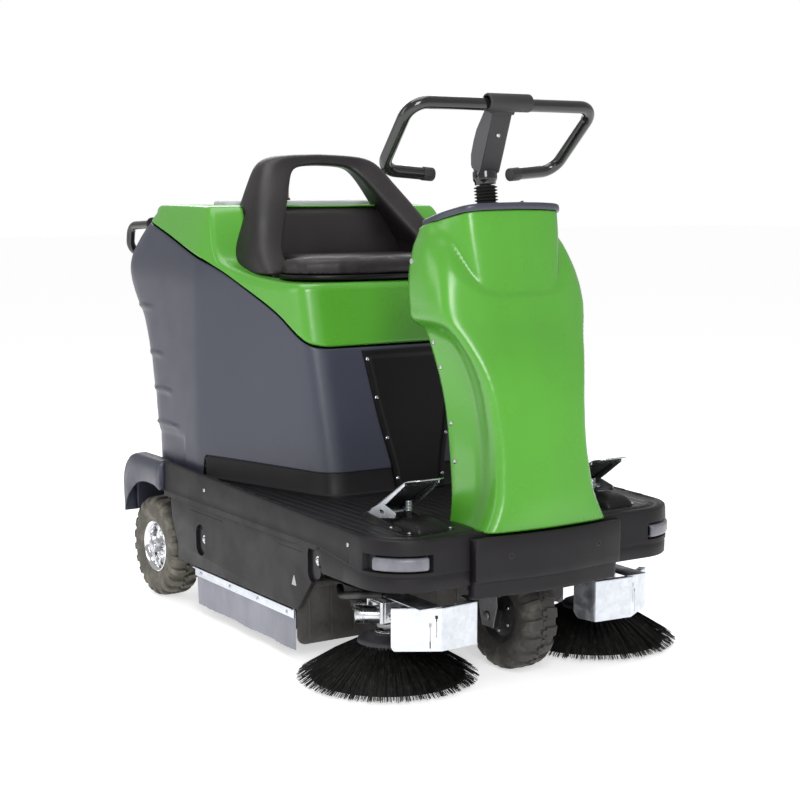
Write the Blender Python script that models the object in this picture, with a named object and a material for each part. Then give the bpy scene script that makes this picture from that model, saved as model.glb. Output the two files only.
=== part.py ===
"""A compact battery ride-on sweeper, built as separate solids in metres, +Z up.

The machine faces -Y and the driver's left hand is at +X. Heights are taken from the floor.
Distances along the machine are taken from the front wheel's axle and run to the rear.
The whole machine is then set so that the middle of its box stands on the origin.
"""

import math

import bmesh
import bpy
from mathutils import Matrix, Vector

# Clearances
GAP = 0.0003            # between pieces that touch
RUN = 0.0005            # radial, round a turning shaft
SEAM = 0.002            # open joint between two mouldings
WALL = 0.005            # moulded covers

# Wheels
FRONT_RADIUS = 0.125
FRONT_WIDTH = 0.09
REAR_RADIUS = 0.13
REAR_WIDTH = 0.085
WHEELBASE = 1.02
TRACK = 0.705
FRONT_RIM_RADIUS = 0.062
REAR_RIM_RADIUS = 0.063
AXLE_RADIUS = 0.012

# Deck
DECK_HALF = 0.40
DECK_TOP = 0.34
DECK_PLATE = 0.006
DECK_FRONT = -0.12
DECK_REAR = 0.93
DECK_CORNER = 0.11
TAIL_HALF = 0.28
TAIL_REAR = 1.06
SKIRT_LOW = 0.285
FRONT_LIP_LOW = 0.232
RIM_RISE = 0.0276       # how much the side rim climbs for each metre to the rear

# Body
BODY_HALF = 0.37
BODY_FRONT = 0.362
BODY_FRONT_HALF = 0.255
BODY_LEAN = 0.158       # front wall's run to the rear for each metre up
TAPER_START = 0.80
FRONT_CORNER = 0.06
REAR_CORNER = 0.08
SHELL_LOW = 0.40
PLINTH_REAR = 0.78
HOOD_TOP = 1.006
SEAT_LEDGE = 0.836
POCKET_HALF = 0.302
POCKET_REAR = 0.885
HOOD_AXIS = (0.0, 1.160, 0.977)

# Steering
RAKE = math.radians(6.5)
COLUMN_TOP = 1.002      # underside of the dash at the front wheel's axle
DASH_SLOPE = 0.275
DASH_THICK = 0.016
BAR_RADIUS = 0.0135
BAR_HALF = 0.243
BAR_HEIGHT = 1.231
BAR_Y = 0.026

# Sweeping gear
BRUSH_Y = 0.55
BRUSH_RADIUS = 0.142
BRUSH_HALF = 0.29
BRUSH_CORE = 0.05
BRUSH_SHAFT = 0.012
BRISTLE_LIFT = 0.002
TUNNEL_HALF = 0.33
TUNNEL_WALL = 0.004
TUNNEL_CLEAR = 0.018
SIDE_BRUSH_X = 0.28
SIDE_BRUSH_Y = 0.065
SIDE_BRUSH_RADIUS = 0.20
SIDE_DISC_RADIUS = 0.065
SIDE_DISC_Z = 0.098
ARM_PIVOT_Y = 0.30
ARM_PIVOT_Z = 0.20
ARM_HALF = 0.035
ARM_PIN = 0.007
HOPPER_HALF = 0.25
HOPPER_FRONT = 0.735
HOPPER_REAR = 1.13
HOPPER_LOW = 0.165
HOPPER_TOP = 0.285
FLAP_FRONT = 0.285
FLAP_REAR = 0.795
FLAP_LOW = 0.027
FLAP_THICK = 0.003
SKIRT_PANEL_LOW = 0.125
SKIRT_OUT = 0.392
SKIRT_THICK = 0.012

# Frame
RAIL_IN = 0.340
RAIL_OUT = 0.370
RAIL_LOW = 0.225
RAIL_TOP = 0.275

# Overall ends, which fix the origin
BUMPER_FRONT = -0.165
HANDLE_REAR = 1.275
MIDDLE = (BUMPER_FRONT + HANDLE_REAR) / 2


# ---------------------------------------------------------------- helpers

def clear_scene():
    for old in list(bpy.data.objects):
        bpy.data.objects.remove(old, do_unlink=True)


def material(name, colour, roughness, metallic=0.0):
    made = bpy.data.materials.get(name)
    if made is None:
        made = bpy.data.materials.new(name)
        made.use_nodes = True
        shader = made.node_tree.nodes["Principled BSDF"]
        shader.inputs["Base Color"].default_value = (*colour, 1.0)
        shader.inputs["Roughness"].default_value = roughness
        shader.inputs["Metallic"].default_value = metallic
    return made


GREEN = ("green_moulding", (0.13, 0.42, 0.03), 0.28)
SLATE = ("slate_moulding", (0.075, 0.085, 0.115), 0.4)
BLACK = ("black_moulding", (0.03, 0.028, 0.03), 0.5)
PALE = ("pale_moulding", (0.45, 0.47, 0.5), 0.45)
SEAT = ("seat_skin", (0.028, 0.026, 0.027), 0.55)
RUBBER = ("black_rubber", (0.02, 0.02, 0.02), 0.75)
TYRE = ("grey_tyre", (0.17, 0.155, 0.13), 0.85)
DARK_TYRE = ("dark_tyre", (0.05, 0.045, 0.04), 0.85)
STEEL = ("plated_steel", (0.62, 0.64, 0.68), 0.3, 1.0)
CHROME = ("bright_rim", (0.8, 0.8, 0.82), 0.12, 1.0)
PAINT = ("black_frame_paint", (0.02, 0.02, 0.022), 0.45)
GLOSS = ("black_tube_lacquer", (0.012, 0.012, 0.012), 0.15)
BRISTLE = ("black_bristle", (0.02, 0.02, 0.02), 0.8)
AMBER = ("amber_lens", (0.85, 0.2, 0.02), 0.15)
LENS = ("grey_lens", (0.35, 0.37, 0.42), 0.25)


def new_object(name, mesh, look, pivot=(0.0, 0.0, 0.0)):
    """An object whose origin lies at pivot, under the machine's own frame."""
    mesh.transform(Matrix.Translation(-Vector(pivot)))
    made = bpy.data.objects.new(name, mesh)
    bpy.context.scene.collection.objects.link(made)
    made.location = pivot
    made.parent = bpy.data.objects["machine_frame"]
    mesh.materials.clear()
    mesh.materials.append(material(*look))
    mesh.shade_smooth()
    mesh.set_sharp_from_angle(angle=math.radians(35))
    return made


def mesh_from(bm):
    bmesh.ops.remove_doubles(bm, verts=bm.verts, dist=1e-6)
    bmesh.ops.recalc_face_normals(bm, faces=bm.faces)
    mesh = bpy.data.meshes.new("solid")
    bm.to_mesh(mesh)
    bm.free()
    return mesh


def box(low, high):
    bm = bmesh.new()
    size = [high[i] - low[i] for i in range(3)]
    centre = [(high[i] + low[i]) / 2 for i in range(3)]
    place = Matrix.Translation(centre) @ Matrix.Diagonal((*size, 1.0))
    bmesh.ops.create_cube(bm, size=1.0, matrix=place)
    return mesh_from(bm)


def loft(rings):
    """A closed solid through rings of equal count, with flat ends."""
    bm = bmesh.new()
    loops = [[bm.verts.new(point) for point in ring] for ring in rings]
    count = len(loops[0])
    for lower, upper in zip(loops, loops[1:]):
        for i in range(count):
            j = (i + 1) % count
            bm.faces.new((lower[i], lower[j], upper[j], upper[i]))
    bm.faces.new(reversed(loops[0]))
    bm.faces.new(loops[-1])
    return mesh_from(bm)


def prism(outline, low, high, axis="Z"):
    """An outline extruded along one axis. X takes (y, z) points and Y takes (x, z) points."""
    place = {
        "X": lambda a, b, c: (c, a, b),
        "Y": lambda a, b, c: (a, c, b),
        "Z": lambda a, b, c: (a, b, c),
    }[axis]
    return loft([[place(a, b, level) for a, b in outline] for level in (low, high)])


def cylinder(start, end, radius, sides=24):
    start = Vector(start)
    end = Vector(end)
    along = end - start
    bm = bmesh.new()
    turn = along.to_track_quat("Z", "Y").to_matrix().to_4x4()
    bmesh.ops.create_cone(
        bm,
        cap_ends=True,
        segments=sides,
        radius1=radius,
        radius2=radius,
        depth=along.length,
        matrix=Matrix.Translation((start + end) / 2) @ turn,
    )
    return mesh_from(bm)


def turned(profile, place, sides=32):
    """A closed (radius, height) profile spun about its own Z, then put in its place."""
    bm = bmesh.new()
    verts = [bm.verts.new((radius, 0.0, height)) for radius, height in profile]
    edges = [bm.edges.new((a, b)) for a, b in zip(verts, verts[1:] + verts[:1])]
    bmesh.ops.spin(
        bm,
        geom=verts + edges,
        cent=(0.0, 0.0, 0.0),
        axis=(0.0, 0.0, 1.0),
        angle=2 * math.pi,
        steps=sides,
        use_merge=True,
        use_duplicate=False,
    )
    bmesh.ops.transform(bm, matrix=place, verts=bm.verts)
    return mesh_from(bm)


def along_x(x, y, z):
    """Turns a spun shape's axis to run across the machine."""
    return Matrix.Translation((x, y, z)) @ Matrix.Rotation(math.radians(90), 4, "Y")


def mirrored(mesh):
    other = mesh.copy()
    other.transform(Matrix.Diagonal((-1.0, 1.0, 1.0, 1.0)))
    other.flip_normals()
    return other


def combined(base, others, operation):
    """The mesh left when every other mesh is joined to, cut from or crossed with the base."""
    holder = bpy.data.objects.new("holder", base)
    bpy.context.scene.collection.objects.link(holder)
    helpers = []
    for other in others:
        helper = bpy.data.objects.new("helper", other)
        bpy.context.scene.collection.objects.link(helper)
        helpers.append(helper)
        step = holder.modifiers.new("step", "BOOLEAN")
        step.operation = operation
        step.solver = "EXACT"
        step.object = helper
    graph = bpy.context.evaluated_depsgraph_get()
    result = bpy.data.meshes.new_from_object(holder.evaluated_get(graph))
    for used in (holder, *helpers):
        bpy.data.objects.remove(used, do_unlink=True)
    return result


def joined(base, *others):
    return combined(base, others, "UNION")


def cut(base, *others):
    return combined(base, others, "DIFFERENCE")


def crossed(base, *others):
    return combined(base, others, "INTERSECT")


def arc(centre, radius, start, end, steps):
    """Points round an arc, angles in degrees."""
    points = []
    for i in range(steps + 1):
        angle = math.radians(start + (end - start) * i / steps)
        points.append((centre[0] + radius * math.cos(angle), centre[1] + radius * math.sin(angle)))
    return points


def mirror_outline(half):
    """A half outline at +X, from front to rear, closed by its own mirror image."""
    return half + [(-x, y) for x, y in reversed(half)]


def tube_path(points, radius, steps=5):
    """A round tube through points, with a smooth turn at each inner point: (x, y, z, bend radius)."""
    path = [Vector(points[0][:3])]
    for before, here, after in zip(points, points[1:], points[2:]):
        corner = Vector(here[:3])
        inward = (Vector(before[:3]) - corner).normalized()
        outward = (Vector(after[:3]) - corner).normalized()
        half = inward.angle(outward) / 2
        back = here[3] / math.tan(half)
        centre = corner + (inward + outward).normalized() * here[3] / math.sin(half)
        first = corner + inward * back - centre
        last = corner + outward * back - centre
        for i in range(steps + 1):
            path.append(centre + first.normalized().slerp(last.normalized(), i / steps) * here[3])
    path.append(Vector(points[-1][:3]))
    curve = bpy.data.curves.new("tube", "CURVE")
    curve.dimensions = "3D"
    curve.bevel_depth = radius
    curve.bevel_resolution = 3
    curve.use_fill_caps = True
    spline = curve.splines.new("POLY")
    spline.points.add(len(path) - 1)
    for point, place in zip(spline.points, path):
        point.co = (*place, 1.0)
    holder = bpy.data.objects.new("holder", curve)
    bpy.context.scene.collection.objects.link(holder)
    graph = bpy.context.evaluated_depsgraph_get()
    mesh = bpy.data.meshes.new_from_object(holder.evaluated_get(graph))
    bpy.data.objects.remove(holder, do_unlink=True)
    bm = bmesh.new()
    bm.from_mesh(mesh)
    return mesh_from(bm)


# ---------------------------------------------------------------- steering axis

STEER_FRAME = Matrix.Translation((0.0, 0.0, FRONT_RADIUS)) @ Matrix.Rotation(-RAKE, 4, "X")


def steered(mesh):
    """Puts a mesh made round an upright axis at the wheel's centre on to the raked axis."""
    mesh.transform(STEER_FRAME)
    return mesh


# ---------------------------------------------------------------- frame and deck

HEAD_LOW = 0.152        # along the steering axis from the wheel's centre
HEAD_TOP = 0.190
KINGPIN = 0.019
HEAD_RADIUS = 0.034
PLATE_IN = HOPPER_HALF + 0.0105
PLATE_OUT = PLATE_IN + 0.008
BEAM_LOW = 0.290


def arm_bracket():
    """Two ears and a pin for the side brush arm at +X, welded to the front cross beam."""
    x = SIDE_BRUSH_X
    pieces = [
        cylinder(
            (x - 0.045, ARM_PIVOT_Y, ARM_PIVOT_Z),
            (x + 0.045, ARM_PIVOT_Y, ARM_PIVOT_Z),
            ARM_PIN,
            16,
        )
    ]
    for low in (x - ARM_HALF - 0.006, x + ARM_HALF + 0.001):
        pieces.append(box((low, 0.19, 0.228), (low + 0.005, ARM_PIVOT_Y + 0.014, 0.262)))
        pieces.append(
            box(
                (low, ARM_PIVOT_Y - 0.014, ARM_PIVOT_Z - 0.014),
                (low + 0.005, ARM_PIVOT_Y + 0.014, 0.24),
            )
        )
    return pieces


def chassis_frame():
    under_deck = DECK_TOP - DECK_PLATE - GAP
    pieces = []
    for side in (-1, 1):
        low, high = sorted((side * RAIL_IN, side * RAIL_OUT))
        pieces.append(box((low, -0.02, RAIL_LOW), (high, 0.86, RAIL_TOP)))
        for y in (0.06, 0.82):
            pieces.append(box((low, y, RAIL_TOP - 0.01), (high, y + 0.04, under_deck)))
        out_low, out_high = sorted((side * (RAIL_OUT - 0.005), side * (SKIRT_OUT - SKIRT_THICK - GAP)))
        for y in (0.25, 0.55, 0.79):
            pieces.append(box((out_low, y, 0.235), (out_high, y + 0.03, 0.265)))
        plate_low, plate_high = sorted((side * PLATE_IN, side * PLATE_OUT))
        plate = box((plate_low, 0.79, 0.10), (plate_high, 1.12, BEAM_LOW + 0.01))
        pieces.append(plate)
        run_low, run_high = sorted((side * (HOPPER_HALF - 0.02), side * (PLATE_IN + 0.002)))
        pieces.append(
            box((run_low, 0.80, HOPPER_LOW - GAP - 0.008), (run_high, 1.11, HOPPER_LOW - GAP))
        )
    for y in (0.82, 1.02):
        reach = RAIL_OUT if y < 0.9 else PLATE_OUT
        pieces.append(box((-reach, y, BEAM_LOW), (reach, y + 0.035, under_deck)))
    pieces.append(box((-RAIL_IN - 0.01, 0.165, RAIL_LOW), (RAIL_IN + 0.01, 0.205, RAIL_TOP)))
    for side in (-1, 1):
        low, high = sorted((side * 0.022, side * 0.062))
        pieces.append(box((low, 0.03, 0.288), (high, 0.20, 0.312)))
        pieces.append(box((low, 0.165, 0.265), (high, 0.20, 0.30)))
    for piece in arm_bracket():
        pieces += [piece.copy(), mirrored(piece)]
    head = steered(cylinder((0, 0, HEAD_LOW + 0.012), (0, 0, HEAD_TOP), HEAD_RADIUS))
    frame = joined(head, *pieces)
    kingpin_bore = steered(cylinder((0, 0, HEAD_LOW - 0.03), (0, 0, HEAD_TOP + 0.03), KINGPIN + RUN))
    axle_bore = cylinder(
        (-0.3, WHEELBASE, REAR_RADIUS),
        (0.3, WHEELBASE, REAR_RADIUS),
        AXLE_RADIUS + GAP,
    )
    new_object("chassis_frame", cut(frame, kingpin_bore, axle_bore), PAINT)


def deck_outline(inset=0.0):
    """The deck's plan: square at the rear, round at the two front corners."""
    half = DECK_HALF - inset
    front = DECK_FRONT + inset
    corner = DECK_CORNER - inset
    points = arc((half - corner, front + corner), corner, -90, 0, 8)
    return mirror_outline(points + [(half, DECK_REAR)])


def deck_tail_outline(inset=0.0):
    half = TAIL_HALF - inset
    return mirror_outline([(half, DECK_REAR - 0.03), (half, TAIL_REAR - inset)])


LENS_LOW = 0.277
LENS_TOP = 0.306
LENS_IN = 0.291
LENS_REAR = -0.035


def lens_band(inset, low, top, x_in, y_rear):
    """The strip of the deck's corner at +X, between two depths of the outline, that holds a lamp lens."""
    window = box((x_in, -0.3, low), (0.6, y_rear, top))
    outer = prism(deck_outline(inset[0]), low - 0.01, top + 0.01)
    inner = prism(deck_outline(inset[1]), low - 0.02, top + 0.02)
    return crossed(cut(outer, inner), window)


def footwell_deck():
    plate_low = DECK_TOP - DECK_PLATE
    floor = joined(
        prism(deck_outline(), plate_low, DECK_TOP),
        prism(deck_tail_outline(), plate_low, DECK_TOP),
    )
    rim_high = DECK_TOP + RIM_RISE * (DECK_REAR + 0.02)
    slope = prism(
        [
            (-0.2, SKIRT_LOW),
            (DECK_REAR, SKIRT_LOW),
            (DECK_REAR, rim_high),
            (-0.02, DECK_TOP),
            (-0.2, DECK_TOP),
        ],
        -0.5,
        0.5,
        "X",
    )
    wall = cut(prism(deck_outline(), SKIRT_LOW, 0.40), prism(deck_outline(DECK_PLATE), 0.2, 0.45))
    wall = crossed(wall, slope)
    lip = cut(
        prism(deck_outline(), FRONT_LIP_LOW, SKIRT_LOW + 0.02),
        prism(deck_outline(DECK_PLATE), 0.2, 0.45),
        prism([(0.02, 0.2), (0.5, 0.2), (0.5, 0.45), (0.06, 0.45), (0.06, SKIRT_LOW)], -0.5, 0.5, "X"),
    )
    open_rear = box((-0.375, DECK_REAR - 0.05, DECK_TOP + GAP), (0.375, DECK_REAR + 0.05, 0.45))
    slot = lens_band(
        (-0.01, DECK_PLATE + 0.01),
        LENS_LOW - 0.003,
        LENS_TOP + 0.003,
        LENS_IN - 0.003,
        LENS_REAR + 0.003,
    )
    head_hole = steered(cylinder((0, 0, HEAD_LOW), (0, 0, HEAD_TOP + 0.06), SHAFT_RADIUS + SEAM))
    deck = joined(floor, wall, lip)
    deck = cut(deck, open_rear, slot, mirrored(slot), head_hole)
    new_object("footwell_deck", deck, BLACK)


def corner_lenses():
    pad = lens_band((-0.003, 0.0), LENS_LOW, LENS_TOP, LENS_IN, LENS_REAR)
    root = lens_band((-0.001, DECK_PLATE + 0.004), LENS_LOW, LENS_TOP, LENS_IN, LENS_REAR)
    back = lens_band(
        (
            DECK_PLATE + GAP,
            DECK_PLATE + 0.006,
        ), LENS_LOW - 0.008, LENS_TOP + 0.008, LENS_IN - 0.008, LENS_REAR + 0.008
    )
    lens = joined(pad, root, back)
    new_object("corner_lens_left", lens.copy(), LENS)
    new_object("corner_lens_right", mirrored(lens), LENS)


BUMPER_HALF = 0.198
BUMPER_LOW = 0.205
BUMPER_BOW = 0.026


def front_bumper():
    back = DECK_FRONT - GAP
    top = DECK_TOP - 0.004
    end = BUMPER_FRONT + BUMPER_BOW
    radius = (BUMPER_HALF ** 2 + BUMPER_BOW ** 2) / (2 * BUMPER_BOW)
    spread = math.degrees(math.asin(BUMPER_HALF / radius))
    bow = arc((0, BUMPER_FRONT + radius), radius, -90, -90 + spread, 6)
    upper = prism(mirror_outline(bow + [(BUMPER_HALF, back)]), BUMPER_LOW + 0.03, top)
    step = 0.008
    low_bow = [(x * 0.96, y + step) for x, y in bow]
    lower = prism(
        mirror_outline(low_bow + [(BUMPER_HALF * 0.96, back)]),
        BUMPER_LOW,
        BUMPER_LOW + 0.035,
    )
    hollow = box(
        (-BUMPER_HALF + 0.02, end + 0.002, BUMPER_LOW - 0.01),
        (BUMPER_HALF - 0.02, back - 0.004, FRONT_LIP_LOW - 0.004),
    )
    new_object("front_bumper", cut(joined(upper, lower), hollow), BLACK)


# ---------------------------------------------------------------- body

REAR_PROFILE = (
    (0.34, 1.075), (0.45, 1.085), (0.55, 1.105), (0.65, 1.132), (0.72, 1.165),
    (0.80, 1.236), (0.85, 1.25), (0.90, 1.232), (0.97, 1.165), (HOOD_TOP + 0.004, 1.13),
)


def body_rear(height):
    for (z0, y0), (z1, y1) in zip(REAR_PROFILE, REAR_PROFILE[1:]):
        if height <= z1:
            return y0 + (y1 - y0) * max(0.0, height - z0) / (z1 - z0)
    return REAR_PROFILE[-1][1]


def body_ring(height, inset=0.0):
    """The body's plan at one height: wide at the rear, narrowing to the front, with round corners."""
    shrink = max(0.0, height - 0.85) * 0.25
    wide = BODY_HALF - shrink - inset
    narrow = BODY_FRONT_HALF + 0.03 * max(0.0, height - DECK_TOP) / 0.5 - inset
    front = BODY_FRONT + BODY_LEAN * (height - DECK_TOP) + inset
    rear = body_rear(height) - inset
    corner = FRONT_CORNER - inset
    rear_corner = REAR_CORNER - inset
    slant = math.degrees(math.atan2(wide - narrow, TAPER_START - front - corner))
    half = arc((narrow - corner, front + corner), corner, -90, -slant, 6)
    half += [(wide - 0.002, TAPER_START), (wide, TAPER_START + 0.06)]
    half += arc((wide - rear_corner, rear - rear_corner), rear_corner, 0, 90, 6)
    return [(x, y, height) for x, y in mirror_outline(half)]


BODY_LEVELS = (0.34 + GAP, 0.45, 0.55, 0.65, 0.72, 0.80, 0.85, 0.90, 0.97, HOOD_TOP + 0.004)

# The diagonal joint between the hood and the shell, as (distance, height)
SEAM_LINE = ((0.0, 0.66), (0.40, 0.682), (0.47, 0.735), (0.70, 0.852), (1.12, 0.970), (1.4, 1.0))


def body_outer():
    return loft([body_ring(z) for z in BODY_LEVELS])


def body_inner(low=0.30, high=1.1):
    levels = (low,) + BODY_LEVELS + (high,)
    return loft(
        [[(x, y, z) for x, y, _ in body_ring(min(max(z, 0.34), HOOD_TOP), WALL)] for z in levels]
    )


PANEL_TOP_HALF = 0.105
PANEL_LOW_HALF = 0.075
PANEL_LEVELS = (DECK_TOP + GAP, 0.655)


def panel_window(rear=BODY_FRONT + 0.12):
    """The tapering window at the middle of the seat base's front wall."""
    low, high = PANEL_LEVELS
    return prism(
        [
            (-PANEL_LOW_HALF, low - 0.05),
            (PANEL_LOW_HALF, low - 0.05),
            (PANEL_TOP_HALF, high + 0.10),
            (-PANEL_TOP_HALF, high + 0.10),
        ],
        BODY_FRONT - 0.05,
        rear,
        "Y",
    )


HINGE_X = 0.16
KNUCKLE = 0.006
HINGE_PIN = 0.0025


def hinge_rod(low, high, radius):
    """A round bar along the hood's hinge axis, at both of its hinges."""
    _, y, z = HOOD_AXIS
    rod = cylinder((low, y, z), (high, y, z), radius, 16)
    return [rod, mirrored(rod)]


def body_shell():
    below_seam = prism(
        [(0.2, SHELL_LOW), (PLINTH_REAR, SHELL_LOW), (PLINTH_REAR, 0.2), (1.4, 0.2)] + list(
            reversed([(y, z - SEAM / 2) for y, z in SEAM_LINE])
        ),
        -0.6,
        0.6,
        "X",
    )
    shell = crossed(body_outer(), below_seam)
    shell = cut(
        shell,
        body_inner(),
        panel_window(),
        *hinge_rod(HINGE_X - 0.0155, HINGE_X + 0.0155, KNUCKLE + 0.0015),
    )
    outer_knuckles = hinge_rod(HINGE_X - 0.030, HINGE_X - 0.015, KNUCKLE) + hinge_rod(
        HINGE_X + 0.015,
        HINGE_X + 0.030,
        KNUCKLE,
    )
    shell = joined(shell, *outer_knuckles, *hinge_rod(HINGE_X - 0.028, HINGE_X + 0.028, HINGE_PIN))
    new_object("body_shell", shell, SLATE)


def body_plinth():
    outer = loft([body_ring(z, 0.001) for z in (DECK_TOP + GAP, SHELL_LOW - GAP)])
    inner = loft([body_ring(z, 0.024) for z in (DECK_TOP - 0.02, SHELL_LOW + 0.02)])
    behind = box((-0.6, PLINTH_REAR - SEAM, 0.2), (0.6, 1.5, 0.6))
    window = panel_window(BODY_FRONT + BODY_LEAN * (SHELL_LOW - DECK_TOP) + WALL + GAP)
    new_object("body_plinth", cut(outer, inner, behind, window), BLACK)


def seat_base_panel():
    low, high = PANEL_LEVELS
    rings = []
    for z in (low, high):
        front = BODY_FRONT + BODY_LEAN * (z - DECK_TOP)
        half = PANEL_LOW_HALF + (PANEL_TOP_HALF - PANEL_LOW_HALF) * (z - low + 0.05) / (
            high - low + 0.15
        ) - GAP
        rings.append(
            [
                (-half, front + 0.001, z),
                (half, front + 0.001, z),
                (half, front + WALL, z),
                (-half, front + WALL, z),
            ]
        )
    new_object("seat_base_panel", loft(rings), BLACK)


LEDGE_LINE = ((0.30, SEAT_LEDGE), (0.60, 0.856), (0.72, 0.885))


def seat_hood():
    """The tilting green moulding that carries the seat and covers the filter."""
    top = list(LEDGE_LINE) + [(0.726, HOOD_TOP), (1.4, HOOD_TOP)]
    seam = [(y, z + SEAM / 2) for y, z in SEAM_LINE]
    region = prism([(0.2, seam[0][1])] + seam[1:] + list(reversed(top)), -0.6, 0.6, "X")
    inside = prism(
        [
            (0.2, 0.3),
            (1.4, 0.3),
            (1.4, HOOD_TOP - WALL),
            (POCKET_REAR + WALL, HOOD_TOP - WALL),
            (POCKET_REAR + WALL, SEAT_LEDGE - WALL),
            (0.2, SEAT_LEDGE - WALL),
        ],
        -0.6,
        0.6,
        "X",
    )
    cavity = crossed(body_inner(), inside)
    pocket = box((-POCKET_HALF, 0.2, SEAT_LEDGE), (POCKET_HALF, POCKET_REAR, 1.2))
    filter_mouth = box(
        (-0.19, LID_FRONT + 0.02, HOOD_TOP - 0.05),
        (0.19, LID_REAR - 0.02, HOOD_TOP + 0.05),
    )
    hood = crossed(body_outer(), region)
    hood = cut(hood, cavity, pocket, filter_mouth)
    hood = cut(hood, *hinge_rod(HINGE_X - 0.032, HINGE_X + 0.032, KNUCKLE + 0.0015))
    knuckles = hinge_rod(HINGE_X - 0.014, HINGE_X + 0.014, KNUCKLE)
    webs = []
    for side in (-1, 1):
        low, high = sorted((side * (HINGE_X - 0.014), side * (HINGE_X + 0.014)))
        webs.append(
            box(
                (low, HOOD_AXIS[1] - 0.020, HOOD_AXIS[2] + 0.001),
                (high, HOOD_AXIS[1] - 0.001, HOOD_AXIS[2] + 0.010),
            )
        )
    hood = joined(hood, *knuckles, *webs)
    hood = cut(hood, *hinge_rod(HINGE_X - 0.040, HINGE_X + 0.040, HINGE_PIN + RUN))
    new_object("seat_hood", hood, GREEN, HOOD_AXIS)


LID_FRONT = 0.893
LID_REAR = 0.998
LID_HALF = 0.225
LID_THICK = 0.012
LID_AXIS = (0.0, LID_REAR, HOOD_TOP + 0.008)


def filter_lid():
    low = HOOD_TOP + GAP
    rings = []
    for z, inset in ((low, 0.0), (low + LID_THICK * 0.6, 0.0), (low + LID_THICK, 0.012)):
        half = LID_HALF - inset
        front = LID_FRONT + inset
        rear = LID_REAR - inset
        rings.append([(-half, front, z), (half, front, z), (half, rear, z), (-half, rear, z)])
    new_object("filter_lid", loft(rings), PALE, LID_AXIS)


BEACON_Y = 1.045
BEACON_RADIUS = 0.028


def beacon():
    low = HOOD_TOP + GAP
    base = turned(
        [(0.0, 0.0), (0.036, 0.0), (0.036, 0.006), (0.030, 0.018), (0.0, 0.018)],
        Matrix.Translation((0, BEACON_Y, low)),
        24,
    )
    new_object("beacon_base", base, BLACK, HOOD_AXIS)
    height = 0.052
    dome = [
        (BEACON_RADIUS - 0.010 + 0.010 * math.cos(a), height - 0.010 + 0.010 * math.sin(a))
        for a in (0.0, 0.6, 1.2, math.pi / 2)
    ]
    lens = turned(
        [(0.0, 0.0), (BEACON_RADIUS, 0.0)] + dome + [(0.0, height)],
        Matrix.Translation((0, BEACON_Y, low + 0.018 + GAP)),
        24,
    )
    new_object("beacon_lens", lens, AMBER, HOOD_AXIS)


# ---------------------------------------------------------------- seat

ARCH_OUT = (
    (0.285, 0.852),
    (0.280, 0.905),
    (0.247, 0.985),
    (0.203, 1.060),
    (0.178, 1.098),
    (0.150, 1.120),
    (0.090, 1.132),
    (0.0, 1.137),
)
ARCH_IN = ((0.150, 1.002), (0.104, 1.080), (0.084, 1.095), (0.045, 1.102), (0.0, 1.104))
SEAT_LOW = SEAT_LEDGE + GAP


def arch_front(z):
    """How far back the seat arch's front face lies at this height."""
    return 0.60 + (z - 0.85) * 0.78


def arch_rear(z):
    return 0.80 + (z - 0.85) * 0.26


def seat_shell():
    """The moulded seat: a pan, a low back between two side arms, and an arch over an opening."""
    outline = [(0.283, SEAT_LOW)] + list(ARCH_OUT)
    ring = outline + [(-x, z) for x, z in reversed(outline[:-1])]
    arch = loft([[(x, face(z), z) for x, z in ring] for face in (arch_front, arch_rear)])
    opening_half = list(ARCH_IN)
    opening = opening_half + [(-x, z) for x, z in reversed(opening_half[:-1])]
    hole = loft([[(x, y, z) for x, z in opening] for y in (0.5, 1.1)])
    hollow_half = [(0.205, 0.80), (0.205, 0.92), (0.150, 1.002)]
    hollow = hollow_half + [(-x, z) for x, z in reversed(hollow_half)]
    front_hollow = loft(
        [
            [(x, face(z), z) for x, z in hollow]
            for face in (lambda z: 0.4, lambda z: arch_rear(z) - 0.045)
        ]
    )
    pan = box((-0.262, 0.52, SEAT_LOW), (0.262, 0.82, SEAT_LOW + 0.012))
    new_object("seat_shell", joined(cut(arch, hole, front_hollow), pan), SEAT, HOOD_AXIS)


CUSHION_TOP = 0.886


def seat_cushion():
    """A soft pad with a bowed front, resting on the ledge and the seat pan."""
    rings = []
    low = SEAT_LOW + 0.012 + GAP
    for z, inset in ((low, 0.012), (low + 0.012, 0.0), (CUSHION_TOP - 0.014, 0.0), (CUSHION_TOP, 0.02)):
        half = [
            (0.0, 0.447 + inset),
            (0.10, 0.452 + inset),
            (0.18, 0.468 + inset),
            (0.238 - inset, 0.506 + inset),
            (0.262 - inset, 0.560),
            (0.260 - inset, 0.586 - inset / 2),
            (0.203 - inset, 0.592),
            (0.202 - inset, 0.70),
            (0.19 - inset, 0.752 - inset),
        ]
        rings.append([(x, y, z) for x, y in half + [(-x, y) for x, y in reversed(half[1:])]])
    new_object("seat_cushion", loft(rings), SEAT, HOOD_AXIS)


# ---------------------------------------------------------------- rear handle, inner works

HANDLE_HALF = 0.334
HANDLE_RADIUS = 0.011


def rear_handle():
    """A wide bar across the rear that leaves the body at its two top corners."""
    rear = HANDLE_REAR - HANDLE_RADIUS
    half = [
        (HANDLE_HALF, rear, 0.880, 0.035),
        (HANDLE_HALF, rear - 0.006, 0.934, 0.030),
        (HANDLE_HALF - 0.012, 1.10, 0.950),
    ]
    points = [(-x, y, z, *rest) for x, y, z, *rest in reversed(half)] + half
    body = loft([body_ring(z, -GAP) for z in BODY_LEVELS])
    new_object("rear_handle", cut(tube_path(points, HANDLE_RADIUS), body), GLOSS)


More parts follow.
